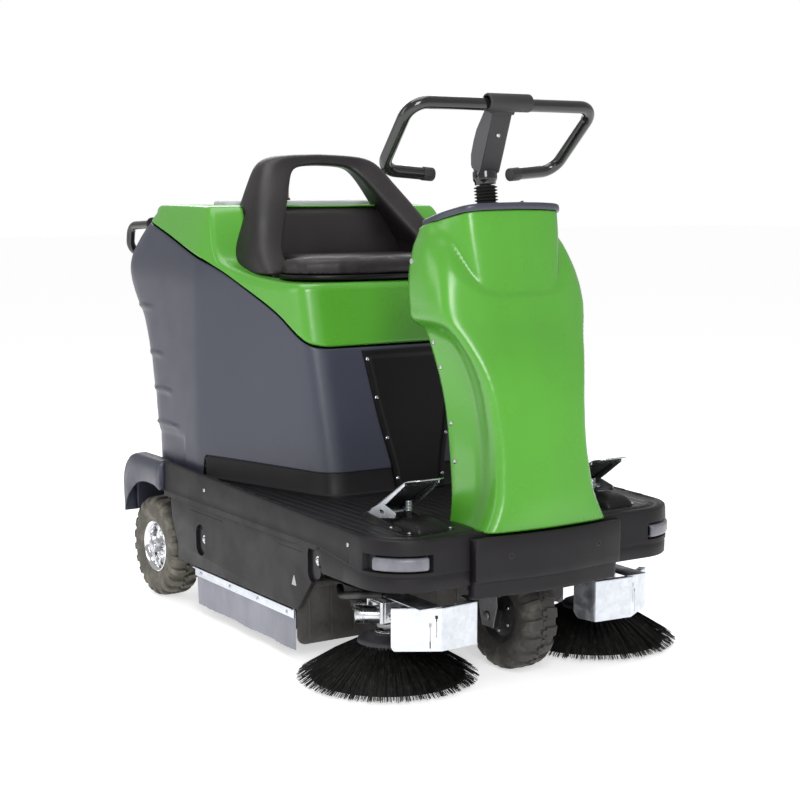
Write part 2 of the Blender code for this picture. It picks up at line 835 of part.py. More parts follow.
def battery_pack():
    low = DECK_TOP + GAP
    body = box((-0.20, 0.43, low), (0.20, 0.76, 0.60))
    lid = box((-0.205, 0.425, 0.575), (0.205, 0.765, 0.598))
    posts = [cylinder((x, 0.60, 0.59), (x, 0.60, 0.625), 0.009, 12) for x in (-0.12, 0.12)]
    new_object("battery_pack", joined(body, lid, *posts), BLACK)


FAN_Y = 0.93


def suction_fan():
    low = DECK_TOP + GAP
    foot = box((-0.08, FAN_Y - 0.08, low), (0.08, FAN_Y + 0.08, low + 0.02))
    drum = cylinder((0, FAN_Y, low + 0.015), (0, FAN_Y, low + 0.12), 0.11, 32)
    motor = cylinder((0, FAN_Y, low + 0.11), (0, FAN_Y, low + 0.24), 0.055, 24)
    new_object("suction_fan", joined(foot, drum, motor), PAINT)


FILTER_LOW = DECK_TOP + GAP + 0.24 + GAP


def dust_filter():
    """A pleated panel filter in its tray, above the fan."""
    low = FILTER_LOW
    high = low + 0.10
    pleats = 14
    half = 0.17
    zigzag = []
    for i in range(pleats * 2 + 1):
        x = -half + 2 * half * i / (pleats * 2)
        zigzag.append((x, high - (0.0 if i % 2 else 0.03)))
    outline = [(-half, low + 0.02), (half, low + 0.02)] + list(reversed(zigzag))
    block = prism(outline, FAN_Y - 0.08, FAN_Y + 0.08, "Y")
    tray = box((-half - 0.012, FAN_Y - 0.09, low), (half + 0.012, FAN_Y + 0.09, low + 0.03))
    new_object("dust_filter", joined(block, tray), PALE)


# ---------------------------------------------------------------- main brush

BRUSH_Z = BRUSH_RADIUS + BRISTLE_LIFT
TUNNEL_RADIUS = BRUSH_RADIUS + TUNNEL_CLEAR


def tunnel_profile(radius):
    """A round arch over the brush that runs straight down in front of it and behind it."""
    return arc((BRUSH_Y, BRUSH_Z), radius, 0, 180, 14) + [
        (BRUSH_Y - radius, 0.055),
        (BRUSH_Y + radius, 0.055),
    ]


def brush_tunnel():
    outer = prism(tunnel_profile(TUNNEL_RADIUS + TUNNEL_WALL), -TUNNEL_HALF, TUNNEL_HALF, "X")
    hollow = [(y, 0.02 if z < 0.06 else z) for y, z in tunnel_profile(TUNNEL_RADIUS)]
    inner = prism(hollow, -TUNNEL_HALF + TUNNEL_WALL, TUNNEL_HALF - TUNNEL_WALL, "X")
    mouth = box((-0.235, BRUSH_Y + 0.08, 0.185), (0.235, BRUSH_Y + 0.3, 0.265))
    shaft = cylinder((-0.5, BRUSH_Y, BRUSH_Z), (0.5, BRUSH_Y, BRUSH_Z), BRUSH_SHAFT + RUN)
    feet = []
    for side in (-1, 1):
        low, high = sorted((side * (TUNNEL_HALF - 0.002), side * RAIL_OUT))
        for y in (BRUSH_Y - 0.12, BRUSH_Y + 0.04):
            feet.append(box((low, y, RAIL_TOP + GAP), (high, y + 0.08, RAIL_TOP + GAP + 0.005)))
    shell = cut(outer, inner, mouth, shaft)
    new_object("brush_tunnel", joined(shell, *feet), PAINT)


def main_brush():
    pivot = (0.0, BRUSH_Y, BRUSH_Z)
    core = cylinder((-BRUSH_HALF, BRUSH_Y, BRUSH_Z), (BRUSH_HALF, BRUSH_Y, BRUSH_Z), BRUSH_CORE, 24)
    shaft = cylinder(
        (-TUNNEL_HALF - 0.002, BRUSH_Y, BRUSH_Z),
        (TUNNEL_HALF - 0.001, BRUSH_Y, BRUSH_Z),
        BRUSH_SHAFT,
    )
    new_object("main_brush_core", joined(core, shaft), PAINT, pivot)
    half = BRUSH_HALF - 0.012
    low = BRUSH_CORE + GAP + 0.0004
    bristles = turned(
        [(low, -half), (BRUSH_RADIUS, -half), (BRUSH_RADIUS, half), (low, half)],
        along_x(*pivot),
        36,
    )
    new_object("main_brush_bristles", bristles, BRISTLE, pivot)


def main_brush_motor():
    start = TUNNEL_HALF + GAP
    end = SKIRT_OUT - SKIRT_THICK - FLAP_THICK - 0.001
    can = cylinder((start, BRUSH_Y, BRUSH_Z), (end, BRUSH_Y, BRUSH_Z), 0.052, 28)
    box_low = box(
        (start, BRUSH_Y - 0.03, BRUSH_Z + 0.03),
        (end - 0.008, BRUSH_Y + 0.03, BRUSH_Z + 0.068),
    )
    new_object("main_brush_motor", joined(can, box_low), PAINT)


# ---------------------------------------------------------------- hopper, skirts and flaps

def waste_hopper():
    """A bin that slides out to the rear, open at the front towards the brush."""
    outer = box((-HOPPER_HALF, HOPPER_FRONT, HOPPER_LOW), (HOPPER_HALF, HOPPER_REAR, HOPPER_TOP))
    inner = box(
        (-HOPPER_HALF + 0.004, HOPPER_FRONT - 0.02, HOPPER_LOW + 0.004),
        (HOPPER_HALF - 0.004, HOPPER_REAR - 0.004, HOPPER_TOP - 0.004),
    )
    face = box(
        (-HOPPER_HALF, HOPPER_REAR - 0.004, HOPPER_LOW - 0.02),
        (HOPPER_HALF, HOPPER_REAR + 0.006, HOPPER_TOP + 0.0),
    )
    grip = tube_path(
        [
            (-0.09, HOPPER_REAR + 0.004, 0.235),
            (-0.09, HOPPER_REAR + 0.045, 0.235, 0.018),
            (0.09, HOPPER_REAR + 0.045, 0.235, 0.018),
            (0.09, HOPPER_REAR + 0.004, 0.235),
        ],
        0.009,
        5,
    )
    mesh = joined(cut(outer, inner), face, grip)
    new_object("waste_hopper", mesh, BLACK, (0.0, HOPPER_REAR, HOPPER_LOW))


def side_skirts():
    low = SKIRT_PANEL_LOW
    high = SKIRT_LOW - GAP
    outline = [
        (0.285, low),
        (0.872, low),
        (0.872, 0.17),
        (0.905, 0.225),
        (0.914, high),
        (0.135, high),
        (0.15, 0.262),
    ]
    panel = prism(outline, SKIRT_OUT - SKIRT_THICK, SKIRT_OUT, "X")
    for y, z in ((0.74, 0.20), (0.205, 0.25)):
        recess = cylinder(
            (SKIRT_OUT - 0.005, y, z),
            (SKIRT_OUT + 0.01, y, z),
            0.022 if y > 0.5 else 0.016,
            20,
        )
        panel = cut(panel, recess)
    new_object("side_skirt_left", panel.copy(), BLACK)
    new_object("side_skirt_right", mirrored(panel), BLACK)


def dust_flaps():
    inner = SKIRT_OUT - SKIRT_THICK
    flap = box(
        (inner - GAP - FLAP_THICK, FLAP_FRONT + 0.004, FLAP_LOW),
        (inner - GAP, FLAP_REAR - 0.004, 0.16),
    )
    leg = box((inner, FLAP_FRONT, 0.096), (inner + 0.003, FLAP_REAR, SKIRT_PANEL_LOW - GAP))
    lip = box(
        (inner, FLAP_FRONT, SKIRT_PANEL_LOW - GAP - 0.003),
        (SKIRT_OUT + 0.006, FLAP_REAR, SKIRT_PANEL_LOW - GAP),
    )
    strip = joined(leg, lip)
    new_object("dust_flap_left", flap.copy(), LENS)
    new_object("dust_flap_right", mirrored(flap), LENS)
    new_object("flap_strip_left", strip.copy(), STEEL)
    new_object("flap_strip_right", mirrored(strip), STEEL)


GUARD_OUT = 0.412
GUARD_REAR = 1.165


def mudguards():
    """Round-shouldered covers over and behind the rear wheels."""
    top = DECK_TOP + RIM_RISE * (DECK_REAR + 0.02)

    def solid(inset):
        front = DECK_REAR + SEAM - (0.05 if inset else 0.0)
        profile = [(front, 0.20), (front, top - inset)]
        profile += [
            (y, z) for y, z in reversed(arc((GUARD_REAR - 0.07, top - 0.07), 0.07 - inset, 0, 90, 6))
        ]
        profile += [(GUARD_REAR - inset - 0.012, 0.20)]
        return profile

    outer = prism(solid(0.0), TAIL_HALF + SEAM, GUARD_OUT, "X")
    inside = [(y, z - (0.1 if z < 0.21 else 0.0)) for y, z in solid(0.006)]
    kept = box((0.0, 0.5, DECK_TOP - 0.008), (BODY_HALF + 0.010, 1.5, 0.6))
    hollow = cut(prism(inside, TAIL_HALF - 0.1, GUARD_OUT - 0.006, "X"), kept)
    arch = prism(
        [
            (0.80, 0.10),
            (1.30, 0.10),
            (1.30, 0.205),
            (1.153, 0.215),
            (1.13, 0.258),
            (1.08, 0.288),
            (1.02, 0.299),
            (0.93, 0.292),
            (0.80, 0.28),
        ],
        GUARD_OUT - 0.02,
        GUARD_OUT + 0.1,
        "X",
    )
    shoulder = box((-0.6, 0.5, DECK_TOP), (BODY_HALF + 0.004, 1.5, 0.6))
    guard = cut(outer, hollow, arch, shoulder)
    new_object("mudguard_left", guard.copy(), SLATE)
    new_object("mudguard_right", mirrored(guard), SLATE)


# ---------------------------------------------------------------- wheels

def tyre_profile(radius, width, rim):
    """A tyre's section with round shoulders, as (radius, distance across)."""
    half = width / 2
    wall = radius - 0.016
    outer = [(rim, -half * 0.80), (rim + 0.012, -half), (wall, -half * 0.95), (radius, -half * 0.55)]
    return outer + [(r, -x) for r, x in reversed(outer)]


def rim_profile(rim, width, bore):
    """A dished rim with a hub, as (radius, distance across)."""
    half = width / 2
    flange = rim - RUN
    side = [
        (bore, -half * 0.95),
        (0.026, -half * 0.95),
        (0.030, -half * 0.35),
        (flange - 0.010, -half * 0.30),
        (flange, -half * 0.78),
    ]
    return side + [(r, -x) for r, x in reversed(side)]


def rear_wheels():
    axle = cylinder(
        (-TRACK / 2 - 0.045, WHEELBASE, REAR_RADIUS),
        (TRACK / 2 + 0.045, WHEELBASE, REAR_RADIUS),
        AXLE_RADIUS,
    )
    new_object("rear_axle", axle, PAINT)
    for name, side in (("left", 1), ("right", -1)):
        pivot = (side * TRACK / 2, WHEELBASE, REAR_RADIUS)
        tyre = turned(tyre_profile(REAR_RADIUS, REAR_WIDTH, REAR_RIM_RADIUS), along_x(*pivot), 36)
        rim = turned(rim_profile(REAR_RIM_RADIUS, REAR_WIDTH, AXLE_RADIUS + RUN), along_x(*pivot), 24)
        new_object("rear_tyre_" + name, tyre, TYRE, pivot)
        new_object("rear_rim_" + name, rim, CHROME, pivot)


SPINDLE = 0.010


def front_wheel():
    pivot = (0.0, 0.0, FRONT_RADIUS)
    tyre = turned(tyre_profile(FRONT_RADIUS, FRONT_WIDTH, FRONT_RIM_RADIUS), along_x(*pivot), 36)
    rim = turned(rim_profile(FRONT_RIM_RADIUS, FRONT_WIDTH, SPINDLE + RUN), along_x(*pivot), 24)
    new_object("front_tyre", tyre, DARK_TYRE, pivot)
    new_object("front_rim", rim, PAINT, pivot)


# ---------------------------------------------------------------- steering

FORK_IN = FRONT_WIDTH / 2 + 0.006
FORK_OUT = FORK_IN + 0.009
SHAFT_RADIUS = 0.013
SHAFT_TOP = 0.950


def front_fork():
    pieces = [steered(box((-FORK_OUT, -0.032, 0.134), (FORK_OUT, 0.032, HEAD_LOW - 0.004)))]
    for side in (-1, 1):
        low, high = sorted((side * FORK_IN, side * FORK_OUT))
        pieces.append(steered(box((low, -0.024, -0.024), (high, 0.024, 0.140))))
    pieces.append(steered(cylinder((0, 0, HEAD_LOW - 0.008), (0, 0, HEAD_TOP + 0.01), KINGPIN)))
    pieces.append(
        cylinder((-FORK_OUT - 0.006, 0, FRONT_RADIUS), (FORK_OUT + 0.006, 0, FRONT_RADIUS), SPINDLE, 20)
    )
    new_object("front_fork", joined(pieces[0], *pieces[1:]), PAINT, (0.0, 0.0, FRONT_RADIUS))


def steering_shaft():
    shaft = steered(cylinder((0, 0, HEAD_TOP + 0.01 + GAP), (0, 0, SHAFT_TOP), SHAFT_RADIUS, 20))
    new_object("steering_shaft", shaft, PAINT, (0.0, 0.0, FRONT_RADIUS))


def dash_height(y):
    """The sloping plane that the dash sits on."""
    return COLUMN_TOP - DASH_SLOPE * y


# The column's plan at several heights: (height, front half width, front, rear half width, rear)
COLUMN_STATIONS = (
    (0.34 + GAP, 0.165, -0.134, 0.150, 0.045),
    (0.375, 0.147, -0.133, 0.137, 0.052),
    (0.42, 0.135, -0.129, 0.125, 0.060),
    (0.512, 0.126, -0.115, 0.120, 0.072),
    (0.584, 0.132, -0.102, 0.125, 0.082),
    (0.658, 0.143, -0.086, 0.140, 0.092),
    (0.717, 0.164, -0.055, 0.165, 0.105),
    (0.774, 0.182, -0.030, 0.190, 0.120),
    (0.83, 0.180, -0.022, 0.193, 0.127),
    (0.90, 0.162, -0.008, 0.185, 0.130),
)


def column_ring(station, inset=0.0, reach=0.0):
    z, front_half, front, rear_half, rear = station
    front_half -= inset
    rear_half -= inset
    front += inset
    corner = 0.035 - inset / 2
    half = [(0.0, front - 0.008), (front_half * 0.5, front - 0.006)]
    half += arc((front_half - corner, front + corner), corner, -80, -8, 4)
    half += [(rear_half, rear - 0.03), (rear_half, rear + reach)]
    return [(x, y, z) for x, y in half + [(-x, y) for x, y in reversed(half[1:])]]


def column_top_ring(lift, inset=0.0, reach=0.0):
    flat = column_ring((0.0, 0.130, 0.010, 0.158, 0.136), inset, reach)
    return [(x, y, dash_height(y) + lift) for x, y, _ in flat]


def column_cover():
    outer = loft([column_ring(station) for station in COLUMN_STATIONS] + [column_top_ring(-GAP)])
    first = (0.30,) + COLUMN_STATIONS[0][1:]
    inner = loft(
        [column_ring(first, WALL, 0.06)]
        + [column_ring(station, WALL, 0.06) for station in COLUMN_STATIONS]
        + [column_top_ring(0.03, WALL, 0.06)]
    )
    new_object("column_cover", cut(outer, inner), GREEN)


def column_rear_panel():
    """The flat rear of the column, between the cover's two edges."""
    rings = []
    stations = list(COLUMN_STATIONS) + [None]
    for station in stations:
        if station is None:
            half, rear = 0.158 - WALL - GAP, 0.136
            height = dash_height(rear) - GAP
            rings.append(
                [
                    (-half, rear - WALL, dash_height(rear - WALL) - GAP),
                    (half, rear - WALL, dash_height(rear - WALL) - GAP),
                    (half, rear, height),
                    (-half, rear, height),
                ]
            )
        else:
            z, _, _, rear_half, rear = station
            half = rear_half - WALL - GAP
            rings.append(
                [(-half, rear - WALL, z), (half, rear - WALL, z), (half, rear, z), (-half, rear, z)]
            )
    new_object("column_rear_panel", loft(rings), SLATE)


GAITER_RADIUS = 0.026


def dash_cap():
    """The sloping top of the column, with a round hole for the steering shaft."""
    low = column_top_ring(0.0, -0.004)
    high = column_top_ring(DASH_THICK * 0.7, -0.004)
    top = column_top_ring(DASH_THICK, 0.004)
    hole = steered(cylinder((0, 0, 0.7), (0, 0, 1.1), SHAFT_RADIUS + 0.004, 20))
    key_hole = cylinder(
        dash_point(KEY_X, KEY_Y, -0.02),
        dash_point(KEY_X, KEY_Y, 0.03),
        0.006 + RUN,
        16,
    )
    new_object("dash_cap", cut(loft([low, high, top]), hole, key_hole), SLATE)


def dash_point(x, y, lift):
    """A point over the dash's upper face, measured along its normal."""
    normal = Vector((0.0, DASH_SLOPE, 1.0)).normalized()
    return Vector((x, y, dash_height(y) + DASH_THICK)) + normal * lift


KEY_X = 0.085
KEY_Y = 0.085


def ignition_key():
    start = dash_point(KEY_X, KEY_Y, -0.012)
    barrel = cylinder(start, dash_point(KEY_X, KEY_Y, 0.006), 0.006, 16)
    collar = cylinder(dash_point(KEY_X, KEY_Y, GAP), dash_point(KEY_X, KEY_Y, 0.005), 0.011, 20)
    base = dash_point(KEY_X, KEY_Y, 0.0)
    bow = box((-0.0015, -0.010, 0.004), (0.0015, 0.010, 0.026))
    bow.transform(Matrix.Translation(base) @ Matrix.Rotation(-math.atan(DASH_SLOPE), 4, "X"))
    new_object("ignition_key", joined(barrel, collar, bow), STEEL, tuple(base))


GAITER_LOW = 0.880      # along the steering axis from the wheel's centre
COLLAR_LOW = 0.938
COLLAR_TOP = 0.968


def steering_gaiter():
    """A short rubber bellows between the dash and the post's collar."""
    folds = 4
    low = GAITER_LOW
    high = COLLAR_LOW - GAP
    outer = []
    for i in range(folds * 2 + 1):
        radius = 0.0235 if i % 2 else 0.0190
        outer.append((radius, low + 0.004 + (high - low - 0.006) * i / (folds * 2)))
    profile = [(SHAFT_RADIUS + RUN, low), (GAITER_RADIUS, low)] + outer + [
        (0.0190, high),
        (SHAFT_RADIUS + RUN, high),
    ]
    bellows = turned(profile, STEER_FRAME, 28)
    below = prism(
        [
            (-0.3, dash_height(-0.3) + DASH_THICK + GAP),
            (0.4, dash_height(0.4) + DASH_THICK + GAP),
            (0.4, 0.5),
            (-0.3, 0.5),
        ],
        -0.2,
        0.2,
        "X",
    )
    new_object("steering_gaiter", cut(bellows, below), RUBBER)


POST_TOP = (0.0, 0.037, 1.221)


def steering_post():
    """A collar on the shaft, a box post that leans forward, and a saddle that clamps the bar."""
    collar = steered(cylinder((0, 0, COLLAR_LOW), (0, 0, COLLAR_TOP), 0.025, 24))
    socket = steered(
        cylinder((0, 0, COLLAR_LOW - 0.02), (0, 0, SHAFT_TOP + GAP), SHAFT_RADIUS + GAP, 20)
    )
    foot = STEER_FRAME @ Vector((0, 0, COLLAR_TOP - 0.006))
    top = Vector(POST_TOP)
    along = (top - foot).normalized()
    across = Vector((1, 0, 0))
    deep = along.cross(across)
    rings = []
    for point, half, depth in ((foot, 0.0225, 0.016), (top, 0.0245, 0.015)):
        rings.append(
            [
                tuple(point + across * half * a + deep * depth * b)
                for a, b in ((-1, -1), (1, -1), (1, 1), (-1, 1))
            ]
        )
    saddle = cylinder((-0.056, BAR_Y, BAR_HEIGHT), (0.056, BAR_Y, BAR_HEIGHT), 0.0195, 24)
    bar = cylinder((-0.2, BAR_Y, BAR_HEIGHT), (0.2, BAR_Y, BAR_HEIGHT), BAR_RADIUS + GAP, 24)
    mesh = cut(joined(collar, loft(rings), saddle), socket, bar)
    new_object("steering_post", mesh, BLACK, (0.0, 0.0, FRONT_RADIUS))


BAR_DROP = 0.128
BAR_BACK = 0.112
BAR_END = 0.105


def handlebar():
    low = BAR_HEIGHT - BAR_DROP
    back = BAR_Y + BAR_BACK
    half = [
        (BAR_HALF - 0.008, BAR_Y, BAR_HEIGHT, 0.036),
        (BAR_HALF + 0.006, back, low, 0.036),
        (BAR_END, back + 0.030, low - 0.018),
    ]
    points = [(-x, y, z, *rest) for x, y, z, *rest in reversed(half)] + half
    new_object("handlebar", tube_path(points, BAR_RADIUS), GLOSS, (0.0, 0.0, FRONT_RADIUS))


# ---------------------------------------------------------------- side brushes

BRUSH_MOTOR_LOW = 0.118
BRUSH_MOTOR_TOP = 0.183
ARM_PLATE = 0.006


def side_brush_profile():
    """A disc with a flaring skirt of bristles below it, as (radius, height)."""
    under = SIDE_DISC_Z - 0.012
    return [
        (0.0135, SIDE_DISC_Z - 0.010),
        (0.0135, SIDE_DISC_Z + 0.010),
        (0.030, SIDE_DISC_Z + 0.010),
        (0.034, SIDE_DISC_Z + 0.004),
        (SIDE_DISC_RADIUS, SIDE_DISC_Z),
        (SIDE_DISC_RADIUS + 0.003, under),
        (0.150, 0.042),
        (SIDE_BRUSH_RADIUS, BRISTLE_LIFT),
        (SIDE_BRUSH_RADIUS - 0.045, BRISTLE_LIFT),
        (0.095, 0.040),
        (0.050, SIDE_DISC_Z - 0.022),
    ]


GUARD_LOW = 0.098
GUARD_TOP = BRUSH_MOTOR_TOP + ARM_PLATE + 2 * GAP + 0.003
GUARD_PLATE = 0.003
GUARD_PLAN = ((0.146, -0.030), (0.162, -0.098), (0.252, -0.106), (0.335, -0.012))


def guard_plate():
    """A bent plate in front of the brush motor, whose top flange is bolted over the arm's front end."""
    outline = list(GUARD_PLAN)
    back = [
        (outline[0][0] + GUARD_PLATE, outline[0][1]),
        (0.165, -0.095),
        (0.2507, -0.103),
        (0.3328, -0.0098),
    ]
    plate = prism(outline + list(reversed(back)), GUARD_LOW, GUARD_TOP)
    flange = prism(
        [
            (0.162, -0.098),
            (0.252, -0.106),
            (0.312, -0.038),
            (0.312, SIDE_BRUSH_Y),
            (0.248, SIDE_BRUSH_Y),
            (0.248, -0.060),
            (0.162, -0.060),
        ],
        GUARD_TOP - GUARD_PLATE,
        GUARD_TOP,
    )
    return joined(plate, flange)


def side_brush_gear():
    for name, side in (("left", 1), ("right", -1)):
        pivot = (side * SIDE_BRUSH_X, SIDE_BRUSH_Y, SIDE_DISC_Z)
        brush = turned(side_brush_profile(), Matrix.Translation((pivot[0], pivot[1], 0.0)), 28)
        new_object("side_brush_" + name, brush, BRISTLE, pivot)

        arm_pivot = (side * SIDE_BRUSH_X, ARM_PIVOT_Y, ARM_PIVOT_Z)
        x = SIDE_BRUSH_X
        plate = box(
            (x - 0.035, SIDE_BRUSH_Y - 0.045, BRUSH_MOTOR_TOP + GAP),
            (x + 0.035, ARM_PIVOT_Y - 0.02, BRUSH_MOTOR_TOP + GAP + ARM_PLATE),
        )
        knuckle = cylinder(
            (x - 0.035, ARM_PIVOT_Y, ARM_PIVOT_Z),
            (x + 0.035, ARM_PIVOT_Y, ARM_PIVOT_Z),
            0.014,
            20,
        )
        web = box(
            (x - 0.035, ARM_PIVOT_Y - 0.024, BRUSH_MOTOR_TOP + GAP),
            (x + 0.035, ARM_PIVOT_Y - 0.004, ARM_PIVOT_Z + 0.006),
        )
        bore = cylinder(
            (x - 0.1, ARM_PIVOT_Y, ARM_PIVOT_Z),
            (x + 0.1, ARM_PIVOT_Y, ARM_PIVOT_Z),
            0.007 + RUN,
            16,
        )
        arm = cut(joined(plate, knuckle, web), bore)
        arm = arm if side > 0 else mirrored(arm)
        new_object("brush_arm_" + name, arm, STEEL, arm_pivot)

        body = box(
            (x - 0.034, SIDE_BRUSH_Y - 0.034, BRUSH_MOTOR_LOW + 0.012),
            (x + 0.034, SIDE_BRUSH_Y + 0.034, BRUSH_MOTOR_TOP),
        )
        can = cylinder((x, SIDE_BRUSH_Y, 0.15), (x, SIDE_BRUSH_Y + 0.115, 0.15), 0.027, 24)
        neck = cylinder(
            (x, SIDE_BRUSH_Y, BRUSH_MOTOR_LOW),
            (x, SIDE_BRUSH_Y, BRUSH_MOTOR_LOW + 0.02),
            0.024,
            24,
        )
        spindle = cylinder(
            (x, SIDE_BRUSH_Y, SIDE_DISC_Z - 0.008),
            (x, SIDE_BRUSH_Y, BRUSH_MOTOR_LOW + 0.01),
            0.0135 - RUN,
            16,
        )
        motor = joined(body, can, neck, spindle)
        motor = motor if side > 0 else mirrored(motor)
        new_object("brush_motor_" + name, motor, STEEL, arm_pivot)

        guard = guard_plate()
        guard = guard if side > 0 else mirrored(guard)
        new_object("brush_guard_" + name, guard, STEEL, arm_pivot)


# ---------------------------------------------------------------- pedals

PEDAL_X = 0.25
PEDAL_HALF = 0.045
PEDAL_AXIS_Y = 0.125
PEDAL_AXIS_Z = 0.352
PEDAL_LENGTH = 0.205
PEDAL_ANGLE = math.radians(31)
PEDAL_PIN = 0.004


def pedals():
    for name, side in (("drive_pedal", -1), ("brake_pedal", 1)):
        pivot = (side * PEDAL_X, PEDAL_AXIS_Y, PEDAL_AXIS_Z)
        place = Matrix.Translation(pivot) @ Matrix.Rotation(-PEDAL_ANGLE, 4, "X")
        low, high = -PEDAL_HALF, PEDAL_HALF
        tread = box((low, -PEDAL_LENGTH + 0.03, 0.003), (high, 0.002, 0.007))
        toe = box((low, -PEDAL_LENGTH, -0.004), (high, -PEDAL_LENGTH + 0.034, 0.002))
        toe_turn = Matrix.Translation((0, -PEDAL_LENGTH + 0.034, 0.005)) @ Matrix.Rotation(
            math.radians(14),
            4,
            "X",
        )
        toe.transform(toe_turn @ Matrix.Translation((0, PEDAL_LENGTH - 0.034, 0.0)))
        knuckle = cylinder((low, 0, 0), (high, 0, 0), 0.0075, 16)
        bore = cylinder((-0.1, 0, 0), (0.1, 0, 0), PEDAL_PIN + RUN, 12)
        pedal = cut(joined(tread, toe, knuckle), bore)
        pedal.transform(place)
        new_object(name, pedal, STEEL, pivot)

        floor = DECK_TOP + GAP
        base = box(
            (-PEDAL_HALF - 0.012, -0.015, floor),
            (PEDAL_HALF + 0.012, PEDAL_AXIS_Y - 0.012, floor + 0.003),
        )
        pieces = []
        for end in (-1, 1):
            ear_low, ear_high = sorted((end * (PEDAL_HALF + 0.001), end * (PEDAL_HALF + 0.005)))
            ear = prism(
                [
                    (-0.015, floor),
                    (PEDAL_AXIS_Y + 0.008, floor),
                    (PEDAL_AXIS_Y + 0.009, PEDAL_AXIS_Z + 0.003),
                    (PEDAL_AXIS_Y - 0.004, PEDAL_AXIS_Z + 0.008),
                    (-0.013, floor + 0.006),
                ],
                ear_low,
                ear_high,
                "X",
            )
            pieces.append(ear)
        pin = cylinder(
            (-PEDAL_HALF - 0.007, PEDAL_AXIS_Y, PEDAL_AXIS_Z),
            (PEDAL_HALF + 0.007, PEDAL_AXIS_Y, PEDAL_AXIS_Z),
            PEDAL_PIN,
            12,
        )
        spring_post = cylinder((0, 0.03, floor + 0.001), (0, 0.03, floor + 0.030), 0.007, 16)
        bracket = joined(base, pin, spring_post, *pieces)
        bracket.transform(Matrix.Translation((side * PEDAL_X, 0, 0)))
        new_object(name + "_bracket", bracket, PAINT)


# ---------------------------------------------------------------- assembly

def build():
    clear_scene()
    frame = bpy.data.objects.new("machine_frame", None)
    frame.location = (0.0, -MIDDLE, 0.0)
    bpy.context.scene.collection.objects.link(frame)
    chassis_frame()
    footwell_deck()
    corner_lenses()
    front_bumper()
    body_shell()
    body_plinth()
    seat_base_panel()
    seat_hood()
    filter_lid()
    beacon()
    seat_shell()
    seat_cushion()
    rear_handle()
    battery_pack()
    suction_fan()
    dust_filter()
    brush_tunnel()
    main_brush()
    main_brush_motor()
    waste_hopper()
    side_skirts()
    dust_flaps()
    mudguards()
    rear_wheels()
    front_wheel()
    front_fork()
    steering_shaft()
    column_cover()
    column_rear_panel()
    dash_cap()
    ignition_key()
    steering_gaiter()
    steering_post()
    handlebar()
    side_brush_gear()
    pedals()


build()
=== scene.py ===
"""Detailed looks for a compact ride-on floor sweeper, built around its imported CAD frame."""

import random
from math import acos, atan, atan2, copysign, cos, pi, radians, sin, sqrt, tan

import bmesh
import bpy
from mathutils import Matrix, Vector


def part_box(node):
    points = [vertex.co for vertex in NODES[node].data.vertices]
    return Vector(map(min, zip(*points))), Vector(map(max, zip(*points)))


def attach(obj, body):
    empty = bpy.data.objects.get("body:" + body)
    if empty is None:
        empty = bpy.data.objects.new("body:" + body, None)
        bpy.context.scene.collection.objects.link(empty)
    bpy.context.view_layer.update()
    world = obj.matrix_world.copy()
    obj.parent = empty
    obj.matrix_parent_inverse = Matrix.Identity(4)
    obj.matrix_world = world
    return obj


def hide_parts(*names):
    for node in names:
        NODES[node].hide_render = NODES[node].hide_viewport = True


bl_info = {
    "name": "Ride-on sweeper looks",
    "version": (1, 0, 0),
    "blender": (4, 5, 0),
    "location": "3D View > Sidebar > Sweeper",
    "description": "Builds the mouldings, seat, brushes, wheels and studio of a ride-on sweeper",
    "category": "Object",
}

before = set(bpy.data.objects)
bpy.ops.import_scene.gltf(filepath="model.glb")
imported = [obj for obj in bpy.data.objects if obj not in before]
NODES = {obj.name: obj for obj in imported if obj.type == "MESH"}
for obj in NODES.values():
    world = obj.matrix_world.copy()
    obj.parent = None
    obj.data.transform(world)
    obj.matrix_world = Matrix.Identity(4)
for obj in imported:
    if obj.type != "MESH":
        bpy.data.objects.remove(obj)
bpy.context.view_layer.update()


def middle_of(node):
    low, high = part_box(node)
    return (low + high) / 2


SIDES = ((1, "left"), (-1, "right"))
AXLE_Y = middle_of("front_tyre").y      # the front axle, from which lengths below are measured


# ---- shaping helpers

def mm(size, *values):
    """Rows of a given size from a flat run of thousandths: lengths in millimetres, shares and angles per mille."""
    metres = [round(value / 1000, 7) for value in values]
    return [tuple(metres[at:at + size]) for at in range(0, len(metres), size)]


def between(start, end, share):
    return start + (end - start) * share


def eased(share):
    share = min(1, max(0, share))
    return share * share * (3 - 2 * share)


def along_table(table, place):
    """Smooth values through (place, value, value, ...) rows, held level beyond the ends."""
    if place <= table[0][0]:
        return table[0][1:]
    if place >= table[-1][0]:
        return table[-1][1:]
    index = next(i for i, row in enumerate(table) if row[0] > place) - 1
    before, low, high, after = (table[min(max(index + step, 0), len(table) - 1)] for step in (-1, 0, 1, 2))
    span = high[0] - low[0]
    share = (place - low[0]) / span
    values = []
    for column in range(1, len(low)):
        rise_low = (high[column] - before[column]) / max(high[0] - before[0], 1e-9) * span
        rise_high = (after[column] - low[column]) / max(after[0] - low[0], 1e-9) * span
        cube, square = share ** 3, share ** 2
        values.append(
            (2 * cube - 3 * square + 1) * low[column]
            + (cube - 2 * square + share) * rise_low
            + (3 * square - 2 * cube) * high[column]
            + (cube - square) * rise_high
        )
    return values


